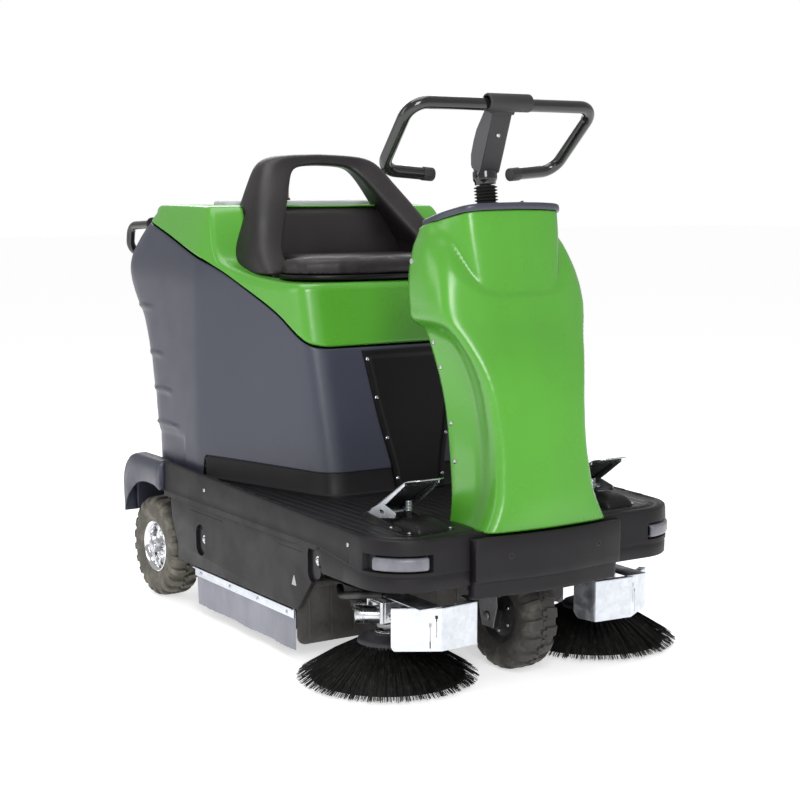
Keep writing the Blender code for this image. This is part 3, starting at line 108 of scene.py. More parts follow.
def reach(outline, centre, angle, spread=0, last=pi):
    """Distance from centre to a half outline at an angle from straight ahead, its corners softened over spread."""
    total = 0
    weight = 0
    offsets = (-1, -0.5, 0, 0.5, 1) if spread else (0,)
    for offset in offsets:
        turned_to = min(abs(angle + offset * spread), 2 * last - abs(angle + offset * spread))
        way = Vector((sin(turned_to), -cos(turned_to)))
        found = None
        for start, end in zip(outline, outline[1:]):
            first = Vector(start) - centre
            run = Vector(end) - Vector(start)
            across = way.x * run.y - way.y * run.x
            if abs(across) < 1e-12:
                continue
            share = -(way.x * first.y - way.y * first.x) / across
            if -1e-6 <= share <= 1 + 1e-6:
                distance = (first + run * share).dot(way)
                if distance > 0:
                    found = distance if found is None else max(found, distance)
        if found is not None:
            share = 1.2 - abs(offset)
            total += found * share
            weight += share
    return total / weight


def formed_sheet(columns, rows, place):
    """A flat grid bent into shape: place(across, up) gives each point, with both from 0 to 1."""
    bm = bmesh.new()
    bmesh.ops.create_grid(bm, x_segments=columns, y_segments=rows, size=0.5)
    for vert in bm.verts:
        vert.co = place(round((vert.co.x + 0.5) * columns) / columns, round((vert.co.y + 0.5) * rows) / rows)
    return bm


def everything(bm):
    return bm.verts[:] + bm.edges[:] + bm.faces[:]


def put(bm, place):
    """Moves a form from the origin to its place."""
    bmesh.ops.transform(bm, matrix=place, verts=bm.verts)


def add_box(bm, low, high, bevel=0, steps=2):
    low, high = Vector(low), Vector(high)
    made = bmesh.ops.create_cube(bm, size=1)["verts"]
    bmesh.ops.scale(bm, vec=high - low, verts=made)
    bmesh.ops.translate(bm, vec=(low + high) / 2, verts=made)
    if bevel:
        edges = {edge for vert in made for edge in vert.link_edges}
        soften(bm, list(edges), bevel, steps)


def soften(bm, edges, width, steps=2):
    bmesh.ops.bevel(bm, geom=edges, offset=width, offset_type="OFFSET", segments=steps, profile=0.5, affect="EDGES",
        clamp_overlap=True, material=-1)


def facing(start, end):
    """A frame at start whose Z runs towards end."""
    along = Vector(end) - Vector(start)
    return Matrix.Translation(start) @ along.to_track_quat("Z", "Y").to_matrix().to_4x4()


def add_rod(bm, start, end, radius, sides=20):
    length = (Vector(end) - Vector(start)).length
    place = facing(start, end) @ Matrix.Translation((0, 0, length / 2))
    bmesh.ops.create_cone(bm, cap_ends=True, segments=sides, radius1=radius, radius2=radius, depth=length,
        matrix=place)


def add_turned(bm, profile, place, sides=48, closed=False):
    """Spins (radius, height) points about the local Z of place."""
    verts = [bm.verts.new(place @ Vector((radius, 0, height))) for radius, height in profile]
    pairs = list(zip(verts, verts[1:]))
    if closed:
        pairs.append((verts[-1], verts[0]))
    edges = [bm.edges.new(pair) for pair in pairs]
    bmesh.ops.spin(bm, geom=verts + edges, cent=place.translation, axis=place.to_3x3() @ Vector((0, 0, 1)), dvec=(0,
        0, 0), angle=2 * pi, steps=sides, use_merge=True, use_duplicate=False)


def turned(*settings, **options):
    bm = bmesh.new()
    add_turned(bm, *settings, **options)
    return bm


def add_loft(bm, rings):
    """Closed rings of points, each joined to the next."""
    loops = []
    for ring in rings:
        made = bmesh.ops.create_circle(bm, cap_ends=False, segments=len(ring), radius=1)["verts"]
        for vert, point in zip(made, ring):
            vert.co = point
        loops.append(made)
    edges_of = [
        list({edge for vert in loop for edge in vert.link_edges if edge.other_vert(vert) in set(loop)})
        for loop in loops
    ]
    for end in (0, -1):
        bmesh.ops.contextual_create(bm, geom=edges_of[end])
    for low, high in zip(edges_of, edges_of[1:]):
        bmesh.ops.bridge_loops(bm, edges=low + high)


def slab(outline, across):
    """Rings of one (y, z) outline at several places across the machine."""
    return [[Vector((x, y, z)) for y, z in outline] for x in across]


def storey(outline, heights):
    """Rings of one (x, y) outline at several heights."""
    return [[Vector((x, y, z)) for x, y in outline] for z in heights]


def round_point(radius, angle, height):
    return Vector((radius * cos(angle), radius * sin(angle), height))


def lofted(rings):
    bm = bmesh.new()
    add_loft(bm, rings)
    return bm


def bent_path(points, steps=8):
    """A path through (x, y, z, bend radius) points, straight between its round bends."""
    path = [Vector(points[0][:3])]
    for before, here, after in zip(points, points[1:], points[2:]):
        corner = Vector(here[:3])
        back = (Vector(before[:3]) - corner).normalized()
        ahead = (Vector(after[:3]) - corner).normalized()
        half = back.angle(ahead) / 2
        bend = here[3]
        middle = corner + (back + ahead).normalized() * bend / sin(half)
        start = corner + back * bend / tan(half) - middle
        end = corner + ahead * bend / tan(half) - middle
        for step in range(steps + 1):
            spoke = start.normalized().slerp(end.normalized(), step / steps).normalized()
            path.append(middle + spoke * bend)
    path.append(Vector(points[-1][:3]))
    return path


def add_tube(bm, path, radius, sides=20):
    """A round bar along a path."""
    rings = []
    across = None
    for index, point in enumerate(path):
        ahead = path[min(index + 1, len(path) - 1)] - path[max(index - 1, 0)]
        ahead.normalize()
        if across is None:
            across = ahead.orthogonal().normalized()
        across = (across - ahead * across.dot(ahead)).normalized()
        up = ahead.cross(across)
        turns = [2 * pi * side / sides for side in range(sides)]
        rings.append([point + (across * cos(turn) + up * sin(turn)) * radius for turn in turns])
    add_loft(bm, rings)


def add_screw(bm, place, out, radius=0.0045, height=0.0025):
    """A domed screw head with a socket, on a surface that faces out."""
    base = facing(place, Vector(place) + Vector(out))
    profile = [(radius, 0), (radius * 0.95, height * 0.55), (radius * 0.7, height * 0.9), (radius * 0.45, height),
        (radius * 0.42, height * 0.4), (0, height * 0.35)]
    add_turned(bm, profile, base, 16)


def mirror_copy(bm):
    """The same form on the other side of the machine."""
    twin = bm.copy()
    bmesh.ops.scale(twin, vec=(-1, 1, 1), verts=twin.verts)
    return twin


def on_side(bm, side):
    return mirror_copy(bm) if side < 0 else bm


def on_both_sides(bm):
    """Adds a mirrored copy of everything so far."""
    made = bmesh.ops.duplicate(bm, geom=everything(bm))["geom"]
    verts = [item for item in made if isinstance(item, bmesh.types.BMVert)]
    bmesh.ops.scale(bm, vec=(-1, 1, 1), verts=verts)


def piece(name, bm, look, body="machine", replaces="", slot=None, sharp=35, wall=0, round_off=0, round_steps=2,
        smoothing=0, inside=None, weld=2e-5):
    """Turns a bmesh into a finished piece that rides on a body."""
    bmesh.ops.remove_doubles(bm, verts=bm.verts, dist=weld)
    bmesh.ops.recalc_face_normals(bm, faces=bm.faces)
    if inside is not None:
        heart = Vector(inside)
        outward = sum(face.normal.dot(face.calc_center_median() - heart) * face.calc_area() for face in bm.faces)
        if outward < 0:
            bmesh.ops.reverse_faces(bm, faces=bm.faces)
    bmesh.ops.translate(bm, vec=(0, AXLE_Y, 0), verts=bm.verts)
    mesh = bpy.data.meshes.new(name)
    bm.to_mesh(mesh)
    bm.free()
    mesh.materials.append(LOOKS[look])
    obj = bpy.data.objects.new(name, mesh)
    bpy.context.scene.collection.objects.link(obj)
    for polygon in mesh.polygons:
        polygon.use_smooth = True
    mesh.set_sharp_from_angle(angle=radians(sharp))
    if wall:
        thick = obj.modifiers.new("wall", "SOLIDIFY")
        thick.thickness = wall
        thick.offset = -1
        thick.use_even_offset = False
    if round_off:
        edge = obj.modifiers.new("rounded edges", "BEVEL")
        edge.width = round_off
        edge.segments = round_steps
        edge.limit_method = "ANGLE"
        edge.angle_limit = radians(max(sharp, 30))
        edge.harden_normals = True
    if smoothing:
        fair = obj.modifiers.new("smoothing", "SUBSURF")
        fair.levels = smoothing
        fair.render_levels = smoothing
    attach(obj, body)
    if replaces:
        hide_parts(replaces)
    slot = SLOTS[look] if slot is None else slot


def carved(bm, *cutters):
    """Cuts other forms out of a form and returns what is left."""
    shapes = []
    for form in (bm,) + cutters:
        bmesh.ops.remove_doubles(form, verts=form.verts, dist=1e-5)
        bmesh.ops.recalc_face_normals(form, faces=form.faces)
        mesh = bpy.data.meshes.new("blank")
        form.to_mesh(mesh)
        form.free()
        obj = bpy.data.objects.new("blank", mesh)
        bpy.context.scene.collection.objects.link(obj)
        shapes.append(obj)
    base = shapes[0]
    for tool in shapes[1:]:
        cut = base.modifiers.new("cut", "BOOLEAN")
        cut.operation = "DIFFERENCE"
        cut.solver = "EXACT"
        cut.object = tool
    graph = bpy.context.evaluated_depsgraph_get()
    result = bmesh.new()
    result.from_mesh(base.evaluated_get(graph).to_mesh())
    for obj in shapes:
        mesh = obj.data
        bpy.data.objects.remove(obj)
        bpy.data.meshes.remove(mesh)
    return result


# ---- finishes

def fill(node, **values):
    """Sets a node's sockets; an underscore in a name stands for a space."""
    for key, value in values.items():
        node.inputs[key.replace("_", " ")].default_value = value


def finish(name, colour, roughness, **sockets):
    """A material with its shader's own settings, ready for patterns."""
    look = bpy.data.materials.new(name)
    look.use_nodes = True
    shader = look.node_tree.nodes["Principled BSDF"]
    fill(shader, Base_Color=(*colour[:3], 1), Roughness=roughness, **sockets)
    return look


def pattern(look, kind, scale, stretch=(1, 1, 1), **settings):
    """A texture over the object's own coordinates; gives its factor or distance output."""
    tree = look.node_tree
    spot = tree.nodes.new("ShaderNodeTexCoord")
    mapping = tree.nodes.new("ShaderNodeMapping")
    fill(mapping, Scale=stretch)
    texture = tree.nodes.new("ShaderNodeTex" + kind)
    fill(texture, Scale=scale)
    for key, value in settings.items():
        if key in ("feature", "wave_type", "bands_direction"):
            setattr(texture, key, value)
        else:
            fill(texture, **{key: value})
    tree.links.new(spot.outputs["Object"], mapping.inputs["Vector"])
    tree.links.new(mapping.outputs["Vector"], texture.inputs["Vector"])
    return texture.outputs["Color" if settings.get("feature") == "F1" else 0]


def remap(look, source, low, high, start=0.35, end=0.65):
    tree = look.node_tree
    node = tree.nodes.new("ShaderNodeMapRange")
    fill(node, From_Min=start, From_Max=end, To_Min=low, To_Max=high)
    tree.links.new(source, node.inputs["Value"])
    return node.outputs["Result"]


def vary_colour(look, source, first, second, start=0.35, end=0.65):
    """Runs the colour from first to second with a pattern."""
    tree = look.node_tree
    mix = tree.nodes.new("ShaderNodeMix")
    mix.data_type = "RGBA"
    mix.inputs[6].default_value = (*first[:3], 1)
    mix.inputs[7].default_value = (*second[:3], 1)
    tree.links.new(remap(look, source, 0, 1, start, end), mix.inputs[0])
    tree.links.new(mix.outputs[2], tree.nodes["Principled BSDF"].inputs["Base Color"])


def mottle(look, scale, detail, first, second, start=0.35, end=0.65):
    vary_colour(look, pattern(look, "Noise", scale, Detail=detail), first, second, start, end)


def vary_roughness(look, scale, detail, low, high):
    shader = look.node_tree.nodes["Principled BSDF"]
    cloud = pattern(look, "Noise", scale, Detail=detail)
    look.node_tree.links.new(remap(look, cloud, low, high), shader.inputs["Roughness"])


def add_relief(look, source, strength, depth):
    """A fine bump; a second call adds to the first."""
    tree = look.node_tree
    shader = tree.nodes["Principled BSDF"]
    bump = tree.nodes.new("ShaderNodeBump")
    fill(bump, Strength=strength, Distance=depth)
    tree.links.new(source, bump.inputs["Height"])
    if shader.inputs["Normal"].links:
        tree.links.new(shader.inputs["Normal"].links[0].from_socket, bump.inputs["Normal"])
    tree.links.new(bump.outputs["Normal"], shader.inputs["Normal"])


def add_grain(look, scale, detail, strength, depth):
    add_relief(look, pattern(look, "Noise", scale, Detail=detail), strength, depth)


def shaded(colour, factor):
    return tuple(min(1, value * factor) for value in colour[:3])


def moulding(name, colour, roughness, grain=0.15, grain_size=900, **sockets):
    """Moulded plastic: a fine skin grain, faint flow mottling and uneven gloss."""
    look = finish(name, colour, roughness, **sockets)
    mottle(look, 3, 3, shaded(colour, 0.94), shaded(colour, 1.06))
    vary_roughness(look, 14, 4, roughness * 0.88, roughness * 1.12)
    add_grain(look, grain_size, 2, grain, 0.0004)
    return look


def galvanised(name, colour, roughness):
    """Zinc plate: crystals of slightly different brightness, and rolling streaks."""
    look = finish(name, colour, roughness, Metallic=1)
    spangle = pattern(look, "Voronoi", 120, feature="F1")
    vary_colour(look, spangle, shaded(colour, 0.93), shaded(colour, 1.03), 0.1, 0.9)
    vary_roughness(look, 40, 5, roughness * 0.8, roughness * 1.3)
    add_relief(look, pattern(look, "Noise", 240, stretch=(1, 1, 4), Detail=2), 0.04, 0.0002)
    return look


def rubber(name, colour, roughness, dust, dust_share=0.5):
    """Worn rubber: dust in patches and a fine rough skin."""
    look = finish(name, colour, roughness)
    patches = pattern(look, "Noise", 26, Detail=6, Roughness=0.65)
    vary_colour(look, patches, colour, dust, 0.62 - dust_share * 0.25, 0.62 + dust_share * 0.1)
    vary_roughness(look, 60, 3, roughness * 0.9, min(1, roughness * 1.1))
    add_grain(look, 420, 4, 0.35, 0.0006)
    return look


LOOKS = {}
# the slot named for each finish unless a piece names another; piece() works it out but does not store it
SLOTS = {
    "amber": "amber_lens", "black": "black_moulding", "black_rubber": "black_rubber", "bristle": "bristle",
    "chrome": "bright_rim", "disc": "black_moulding", "dull_steel": "plated_steel", "flap": "grey_rubber",
    "green": "green_moulding", "grip": "black_moulding", "housing": "black_rubber", "lacquer": "tube_lacquer",
    "lens": "lamp_lens", "paint": "black_steel", "pale": "pale_moulding", "panel": "black_moulding",
    "post_side": "black_moulding", "skin": "seat_skin", "slate": "slate_moulding", "steel": "plated_steel",
    "sticker": "", "tread": "black_moulding", "tyre_front": "front_tyre", "tyre_rear": "rear_tyre",
    "zinc": "plated_steel",
}


def make_looks(colours):
    """Every finish of the machine, from the user's colours."""
    green = colours.green
    slate = colours.slate
    black = colours.black
    LOOKS["green"] = moulding("green_moulding", green, 0.3, 0.05, 500, Coat_Weight=0.45, Coat_Roughness=0.22)
    LOOKS["slate"] = moulding("slate_moulding", slate, 0.36, 0.12, 700, Coat_Weight=0.12, Coat_Roughness=0.25)
    LOOKS["black"] = moulding("black_moulding", black, 0.46, 0.35, 1100, Specular_IOR_Level=0.26)
    LOOKS["panel"] = moulding("black_sheet_moulding", shaded(black, 0.7), 0.38, 0.2, 900, Specular_IOR_Level=0.26)
    LOOKS["tread"] = moulding("ribbed_mat_moulding", shaded(black, 0.85), 0.38, 0.5, 700, Specular_IOR_Level=0.4)
    LOOKS["pale"] = moulding("pale_moulding", (0.52, 0.54, 0.55), 0.42, 0.15, 800)

    skin = finish("seat_skin", (0.016, 0.013, 0.014), 0.4, Specular_IOR_Level=0.42, Coat_Weight=0.08,
        Coat_Roughness=0.35)
    grain = pattern(skin, "Voronoi", 620, feature="DISTANCE_TO_EDGE")
    mottle(skin, 5, 4, (0.012, 0.01, 0.011), (0.022, 0.018, 0.019))
    vary_roughness(skin, 22, 4, 0.38, 0.52)
    add_relief(skin, grain, 0.28, 0.0006)
    add_grain(skin, 45, 3, 0.1, 0.002)
    LOOKS["skin"] = skin

    LOOKS["zinc"] = galvanised("galvanised_plate", (0.74, 0.77, 0.82), 0.4)
    LOOKS["steel"] = galvanised("bright_steel", (0.62, 0.63, 0.65), 0.24)
    LOOKS["dull_steel"] = galvanised("dusty_steel", (0.34, 0.34, 0.35), 0.45)

    chrome = finish("bright_rim_chrome", (0.86, 0.87, 0.89), 0.1, Metallic=1)
    vary_roughness(chrome, 70, 5, 0.07, 0.2)
    mottle(chrome, 30, 5, (0.7, 0.7, 0.71), (0.9, 0.91, 0.93))
    LOOKS["chrome"] = chrome

    paint = finish("black_frame_paint", (0.018, 0.018, 0.02), 0.42)
    mottle(paint, 18, 6, (0.014, 0.014, 0.015), (0.045, 0.043, 0.04), 0.5, 0.8)
    vary_roughness(paint, 35, 4, 0.34, 0.58)
    add_grain(paint, 330, 2, 0.12, 0.0005)
    LOOKS["paint"] = paint

    lacquer = finish("tube_lacquer", (0.01, 0.01, 0.01), 0.12, Coat_Weight=0.6, Coat_Roughness=0.05)
    vary_roughness(lacquer, 50, 4, 0.09, 0.17)
    mottle(lacquer, 9, 3, (0.008, 0.008, 0.008), (0.015, 0.014, 0.014))
    add_grain(lacquer, 210, 1, 0.03, 0.0004)
    LOOKS["lacquer"] = lacquer

    LOOKS["grip"] = moulding("matt_black_clamp", (0.026, 0.024, 0.026), 0.5, 0.4, 800)
    LOOKS["post_side"] = moulding("grey_post_cover", (0.085, 0.082, 0.09), 0.48, 0.4, 800)
    LOOKS["tyre_rear"] = rubber("grey_tyre", (0.095, 0.088, 0.072), 0.8, (0.21, 0.196, 0.16), 0.7)
    LOOKS["tyre_front"] = rubber("dark_tyre", (0.035, 0.032, 0.028), 0.72, (0.085, 0.078, 0.066), 0.5)
    LOOKS["black_rubber"] = rubber("black_rubber", (0.016, 0.016, 0.016), 0.6, (0.034, 0.033, 0.032), 0.3)

    flap = finish("grey_flap_rubber", colours.flap[:3], 0.5)
    tint = colours.flap
    vary_colour(flap, pattern(flap, "Noise", 12, stretch=(1, 1, 0.3), Detail=6), shaded(tint, 0.86), shaded(tint,
        1.1))
    vary_roughness(flap, 30, 4, 0.42, 0.6)
    add_grain(flap, 300, 3, 0.15, 0.0005)
    LOOKS["flap"] = flap

    lens = finish("grey_lens", (0.16, 0.16, 0.185), 0.34, Coat_Weight=0.25, Coat_Roughness=0.1)
    mottle(lens, 30, 4, (0.135, 0.137, 0.16), (0.195, 0.198, 0.225))
    add_relief(lens, pattern(lens, "Voronoi", 240, feature="DISTANCE_TO_EDGE"), 0.5, 0.001)
    LOOKS["lens"] = lens

    amber = finish("amber_lens", colours.beacon[:3], 0.12, Transmission_Weight=0.35, Coat_Weight=0.5)
    mottle(amber, 40, 3, shaded(colours.beacon, 0.8), colours.beacon)
    add_relief(amber, pattern(amber, "Wave", 120, wave_type="BANDS", bands_direction="Z"), 0.25, 0.0008)
    LOOKS["amber"] = amber

    bristle = finish("black_bristle", (0.006, 0.0055, 0.005), 0.6, Specular_IOR_Level=0.25)
    mottle(bristle, 95, 4, (0.004, 0.0036, 0.0033), (0.03, 0.027, 0.023), 0.52, 0.8)
    vary_roughness(bristle, 45, 3, 0.42, 0.65)
    add_grain(bristle, 600, 2, 0.2, 0.0004)
    LOOKS["bristle"] = bristle

    housing = finish("dusty_brush_housing", (0.125, 0.12, 0.112), 0.6)
    vary_colour(housing, pattern(housing, "Noise", 9, Detail=8, Roughness=0.6), (0.05, 0.047, 0.045), (0.17, 0.16,
        0.15), 0.35, 0.7)
    add_grain(housing, 140, 5, 0.3, 0.0008)
    LOOKS["housing"] = housing

    LOOKS["sticker"] = moulding("bare_sticker", (0.45, 0.44, 0.42), 0.4, 0.1, 900)
    LOOKS["disc"] = moulding("brush_disc_moulding", (0.03, 0.029, 0.034), 0.5, 0.4, 500)
    LOOKS["terminal"] = moulding("battery_case", (0.022, 0.023, 0.028), 0.5, 0.3, 600)
    pleats = finish("filter_media", (0.55, 0.52, 0.45), 0.85)
    mottle(pleats, 25, 6, (0.42, 0.39, 0.33), (0.62, 0.6, 0.53))
    add_relief(pleats, pattern(pleats, "Wave", 55, wave_type="BANDS", bands_direction="X"), 0.8, 0.004)
    LOOKS["pleats"] = pleats


# ---- steering column

RAKE = radians(6.5)
DASH_HEIGHT = 1.002     # the dash's underside over the front axle
DASH_FALL = 0.275
DASH_THICK = 0.016
COLUMN_HEART = Vector((0, 0.05))

# (height, front centre, corner x and y, side x and y, rear edge x and y)
COLUMN_OUTLINE = mm(8, 340.3, -150, 166, -134, 152, -45, 152, 16, 360, -149, 155, -134, 140, -50, 150, 17, 400, -146,
    138, -130, 124, -48, 146, 20, 450, -139, 131, -123, 114, -40, 140, 34, 512, -130, 127, -114, 108, -30, 133, 53,
    584, -119, 132, -101, 108, -18, 131, 72, 640, -108, 140, -89, 115, -8, 137, 84, 690, -95, 153, -70, 128, 4, 147,
    94, 730, -78, 168, -47, 146, 14, 157, 101, 752, -67, 177, -34, 166, 22, 166, 106, 772, -58, 184, -23, 190, 30,
    190, 116, 800, -50, 187, -16, 195, 36, 192, 120, 835, -44, 184, -8, 195, 44, 193, 124, 880, -40, 175, 8, 193, 58,
    189, 127, 925, -34, 158, 26, 183, 75, 176, 131, 955, -28, 146, 42, 168, 88, 160, 134, 1010, -24, 136, 55, 150, 96,
    149, 136)
VISOR_OUTLINE = mm(8, 780, -41, 100, -30, 130, 30, 150, 112, 830, -37, 104, -25, 138, 35, 156, 118, 900, -29, 112,
    -14, 147, 42, 160, 126, 970, -18, 119, -3, 149, 56, 153, 132, 1010, -11, 121, 3, 143, 64, 149, 136)
# The line round the visor where the body's shoulder starts, as (angle from straight ahead, height)
VISOR_LINE = ((0, 0.83), (0.72, 0.83), (0.92, 0.838), (1.08, 0.856), (1.25, 0.888), (1.42, 0.93), (1.58, 0.962), (1.8,
    0.985), (2.1, 1.02))


def column_half(table, height):
    """The half outline at a height, from the front's middle to the rear edge."""
    front, corner_x, corner_y, side_x, side_y, rear_x, rear_y = along_table(table, height)
    return [(0, front), (corner_x * 0.55, between(front, corner_y, 0.3)), (corner_x, corner_y), (side_x, side_y),
        (rear_x, rear_y)]


def column_reach(angle, height):
    """How far the column's skin lies from its heart."""
    half = column_half(COLUMN_OUTLINE, height)
    last = atan2(half[-1][0], COLUMN_HEART.y - half[-1][1])
    body = reach(half, COLUMN_HEART, angle, 0.13, last)
    line = along_table(VISOR_LINE, abs(angle))[0]
    above = max(0, height - line + 0.011)
    body -= min(above * above * 55, 0.09)
    if height < 0.8:
        return body
    half = column_half(VISOR_OUTLINE, height)
    visor_last = atan2(half[-1][0], COLUMN_HEART.y - half[-1][1])
    visor = reach(half, COLUMN_HEART, min(abs(angle), visor_last), 0.16, visor_last)
    blend = 0.0016
    gap = body - visor
    return visor + (gap + sqrt(gap * gap + 4 * blend * blend)) / 2


def column_last(height):
    half = column_half(COLUMN_OUTLINE, height)
    return atan2(half[-1][0], COLUMN_HEART.y - half[-1][1])


def column_point(angle, height):
    distance = column_reach(angle, height)
    return Vector((distance * sin(angle), COLUMN_HEART.y - distance * cos(angle), height))


def column_cover():
    low = 0.3403

    def place(across, up):
        side = across * 2 - 1
        top = 0.97
        for _ in range(3):
            height = between(low, top, up)
            angle = side * column_last(height)
            point = column_point(angle, height)
            top = DASH_HEIGHT - DASH_FALL * point.y - 0.0008
        return point

    piece("column_cover_skin", formed_sheet(112, 168, place), "green", replaces="column_cover", sharp=60, wall=0.004,
        inside=(0, 0.05, 0.6))
    screws = bmesh.new()
    for height in (0.722, 0.668, 0.548, 0.468):
        angle = column_last(height) - 0.1
        spot = column_point(angle, height)
        ahead = column_point(angle - 0.03, height) - spot
        out = ahead.cross(Vector((0, 0, 1))).normalized()
        if out.x < 0:
            out = -out
        add_screw(screws, spot, out, 0.0052, 0.003)
    clip = column_point(column_last(0.895) - 0.07, 0.895)
    add_rod(screws, clip, clip + Vector((0.002, 0, 0)), 0.006, 16)
    on_both_sides(screws)
    piece("column_screws", screws, "steel")


def column_rear():
    """The flat rear cover between the column's two rear edges, with a shallow stiffening panel."""
    low = 0.3403

    def place(across, up):
        side = across * 2 - 1
        height = between(low, DASH_HEIGHT - DASH_FALL * 0.134 - 0.001, up)
        half = column_half(COLUMN_OUTLINE, height)[-1]
        rim = 1 - eased((abs(side) - 0.72) / 0.1)
        field = min(eased((up - 0.08) / 0.03), eased((0.9 - up) / 0.03))
        return Vector((side * (half[0] - 0.0045), half[1] - 0.003 - 0.006 * rim * field, height))

    piece("column_rear_cover", formed_sheet(48, 90, place), "slate", replaces="column_rear_panel", sharp=50,
        wall=0.004, inside=(0, 0, 0.6))


def dash_ring(lift, grow):
    """The column's outline at the dash, lifted square to its slope."""
    ring = []
    count = 96
    last = column_last(0.965)
    for index in range(count):
        angle = -pi + 2 * pi * (index + 0.5) / count
        if abs(angle) <= last:
            half = column_half(VISOR_OUTLINE, 1)
            distance = reach(half, COLUMN_HEART, angle, 0.16, last) + grow
            x, y = distance * sin(angle), COLUMN_HEART.y - distance * cos(angle)
        else:
            share = (pi - abs(angle)) / (pi - last)
            x = copysign(0.15 * share, angle)
            y = 0.137 + grow * 0.5 - 0.002 * share ** 6
        ring.append(Vector((x, y, DASH_HEIGHT - DASH_FALL * y + lift)))
    return ring


def dash_and_key():
    bm = bmesh.new()
    rings = []
    for lift, grow in mm(2, 0.4, 1, 0.4, 4.5, 2, 6, 8, 6.2, 12.5, 5, 15.2, 2, 16, -3, 16, -14, 15.2, -18, 15.2, -30):
        rings.append(dash_ring(lift, grow))
    add_loft(bm, rings)
    piece("dash_top", bm, "slate", replaces="dash_cap", sharp=40)

    # indicator window, key plate and two rocker switches on the dash
    slope = Matrix.Rotation(-atan(DASH_FALL), 4, "X")

    def dash_place(x, y, lift=0.0154):
        return Matrix.Translation((x, y, DASH_HEIGHT - DASH_FALL * y + lift)) @ slope

    trim = bmesh.new()
    for x, y, wide, deep in mm(4, -62, 96, 30, 14, -95, 60, 8, 12, 55, 50, 9, 13, -55, 50, 9, 13):
        block = bmesh.new()
        add_box(block, (-wide, -deep, 0), (wide, deep, 0.003), 0.0012, 2)
        bmesh.ops.transform(block, matrix=dash_place(x, y), verts=block.verts)
        join_into(trim, block)
    piece("dash_controls", trim, "panel")
    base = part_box("ignition_key")
    centre = (base[0] + base[1]) / 2 - Vector((0, AXLE_Y, 0))
    place = dash_place(centre.x, 0.085, 0.0162)
    key = turned(mm(2, 0, -4, 11.5, 0, 11.5, 3, 9.5, 4.5, 6.5, 4.5, 6, 7.5, 0, 8), place, 32)
    piece("key_barrel", key, "steel", "key")
    bow = bmesh.new()
    add_box(bow, (-0.0013, -0.004, 0.006), (0.0013, 0.004, 0.012), 0.0004)
    add_box(bow, (-0.0022, -0.0105, 0.011), (0.0022, 0.0105, 0.027), 0.0021, 3)
    put(bow, place)
    piece("key_bow", bow, "grip", "key", "ignition_key", slot="plated_steel")


def join_into(bm, other):
    mesh = bpy.data.meshes.new("part")
    other.to_mesh(mesh)
    other.free()
    bm.from_mesh(mesh)
    bpy.data.meshes.remove(mesh)


# ---- steering above the dash

STEER_PLACE = Matrix.Translation((0, 0, 0.125)) @ Matrix.Rotation(-RAKE, 4, "X")


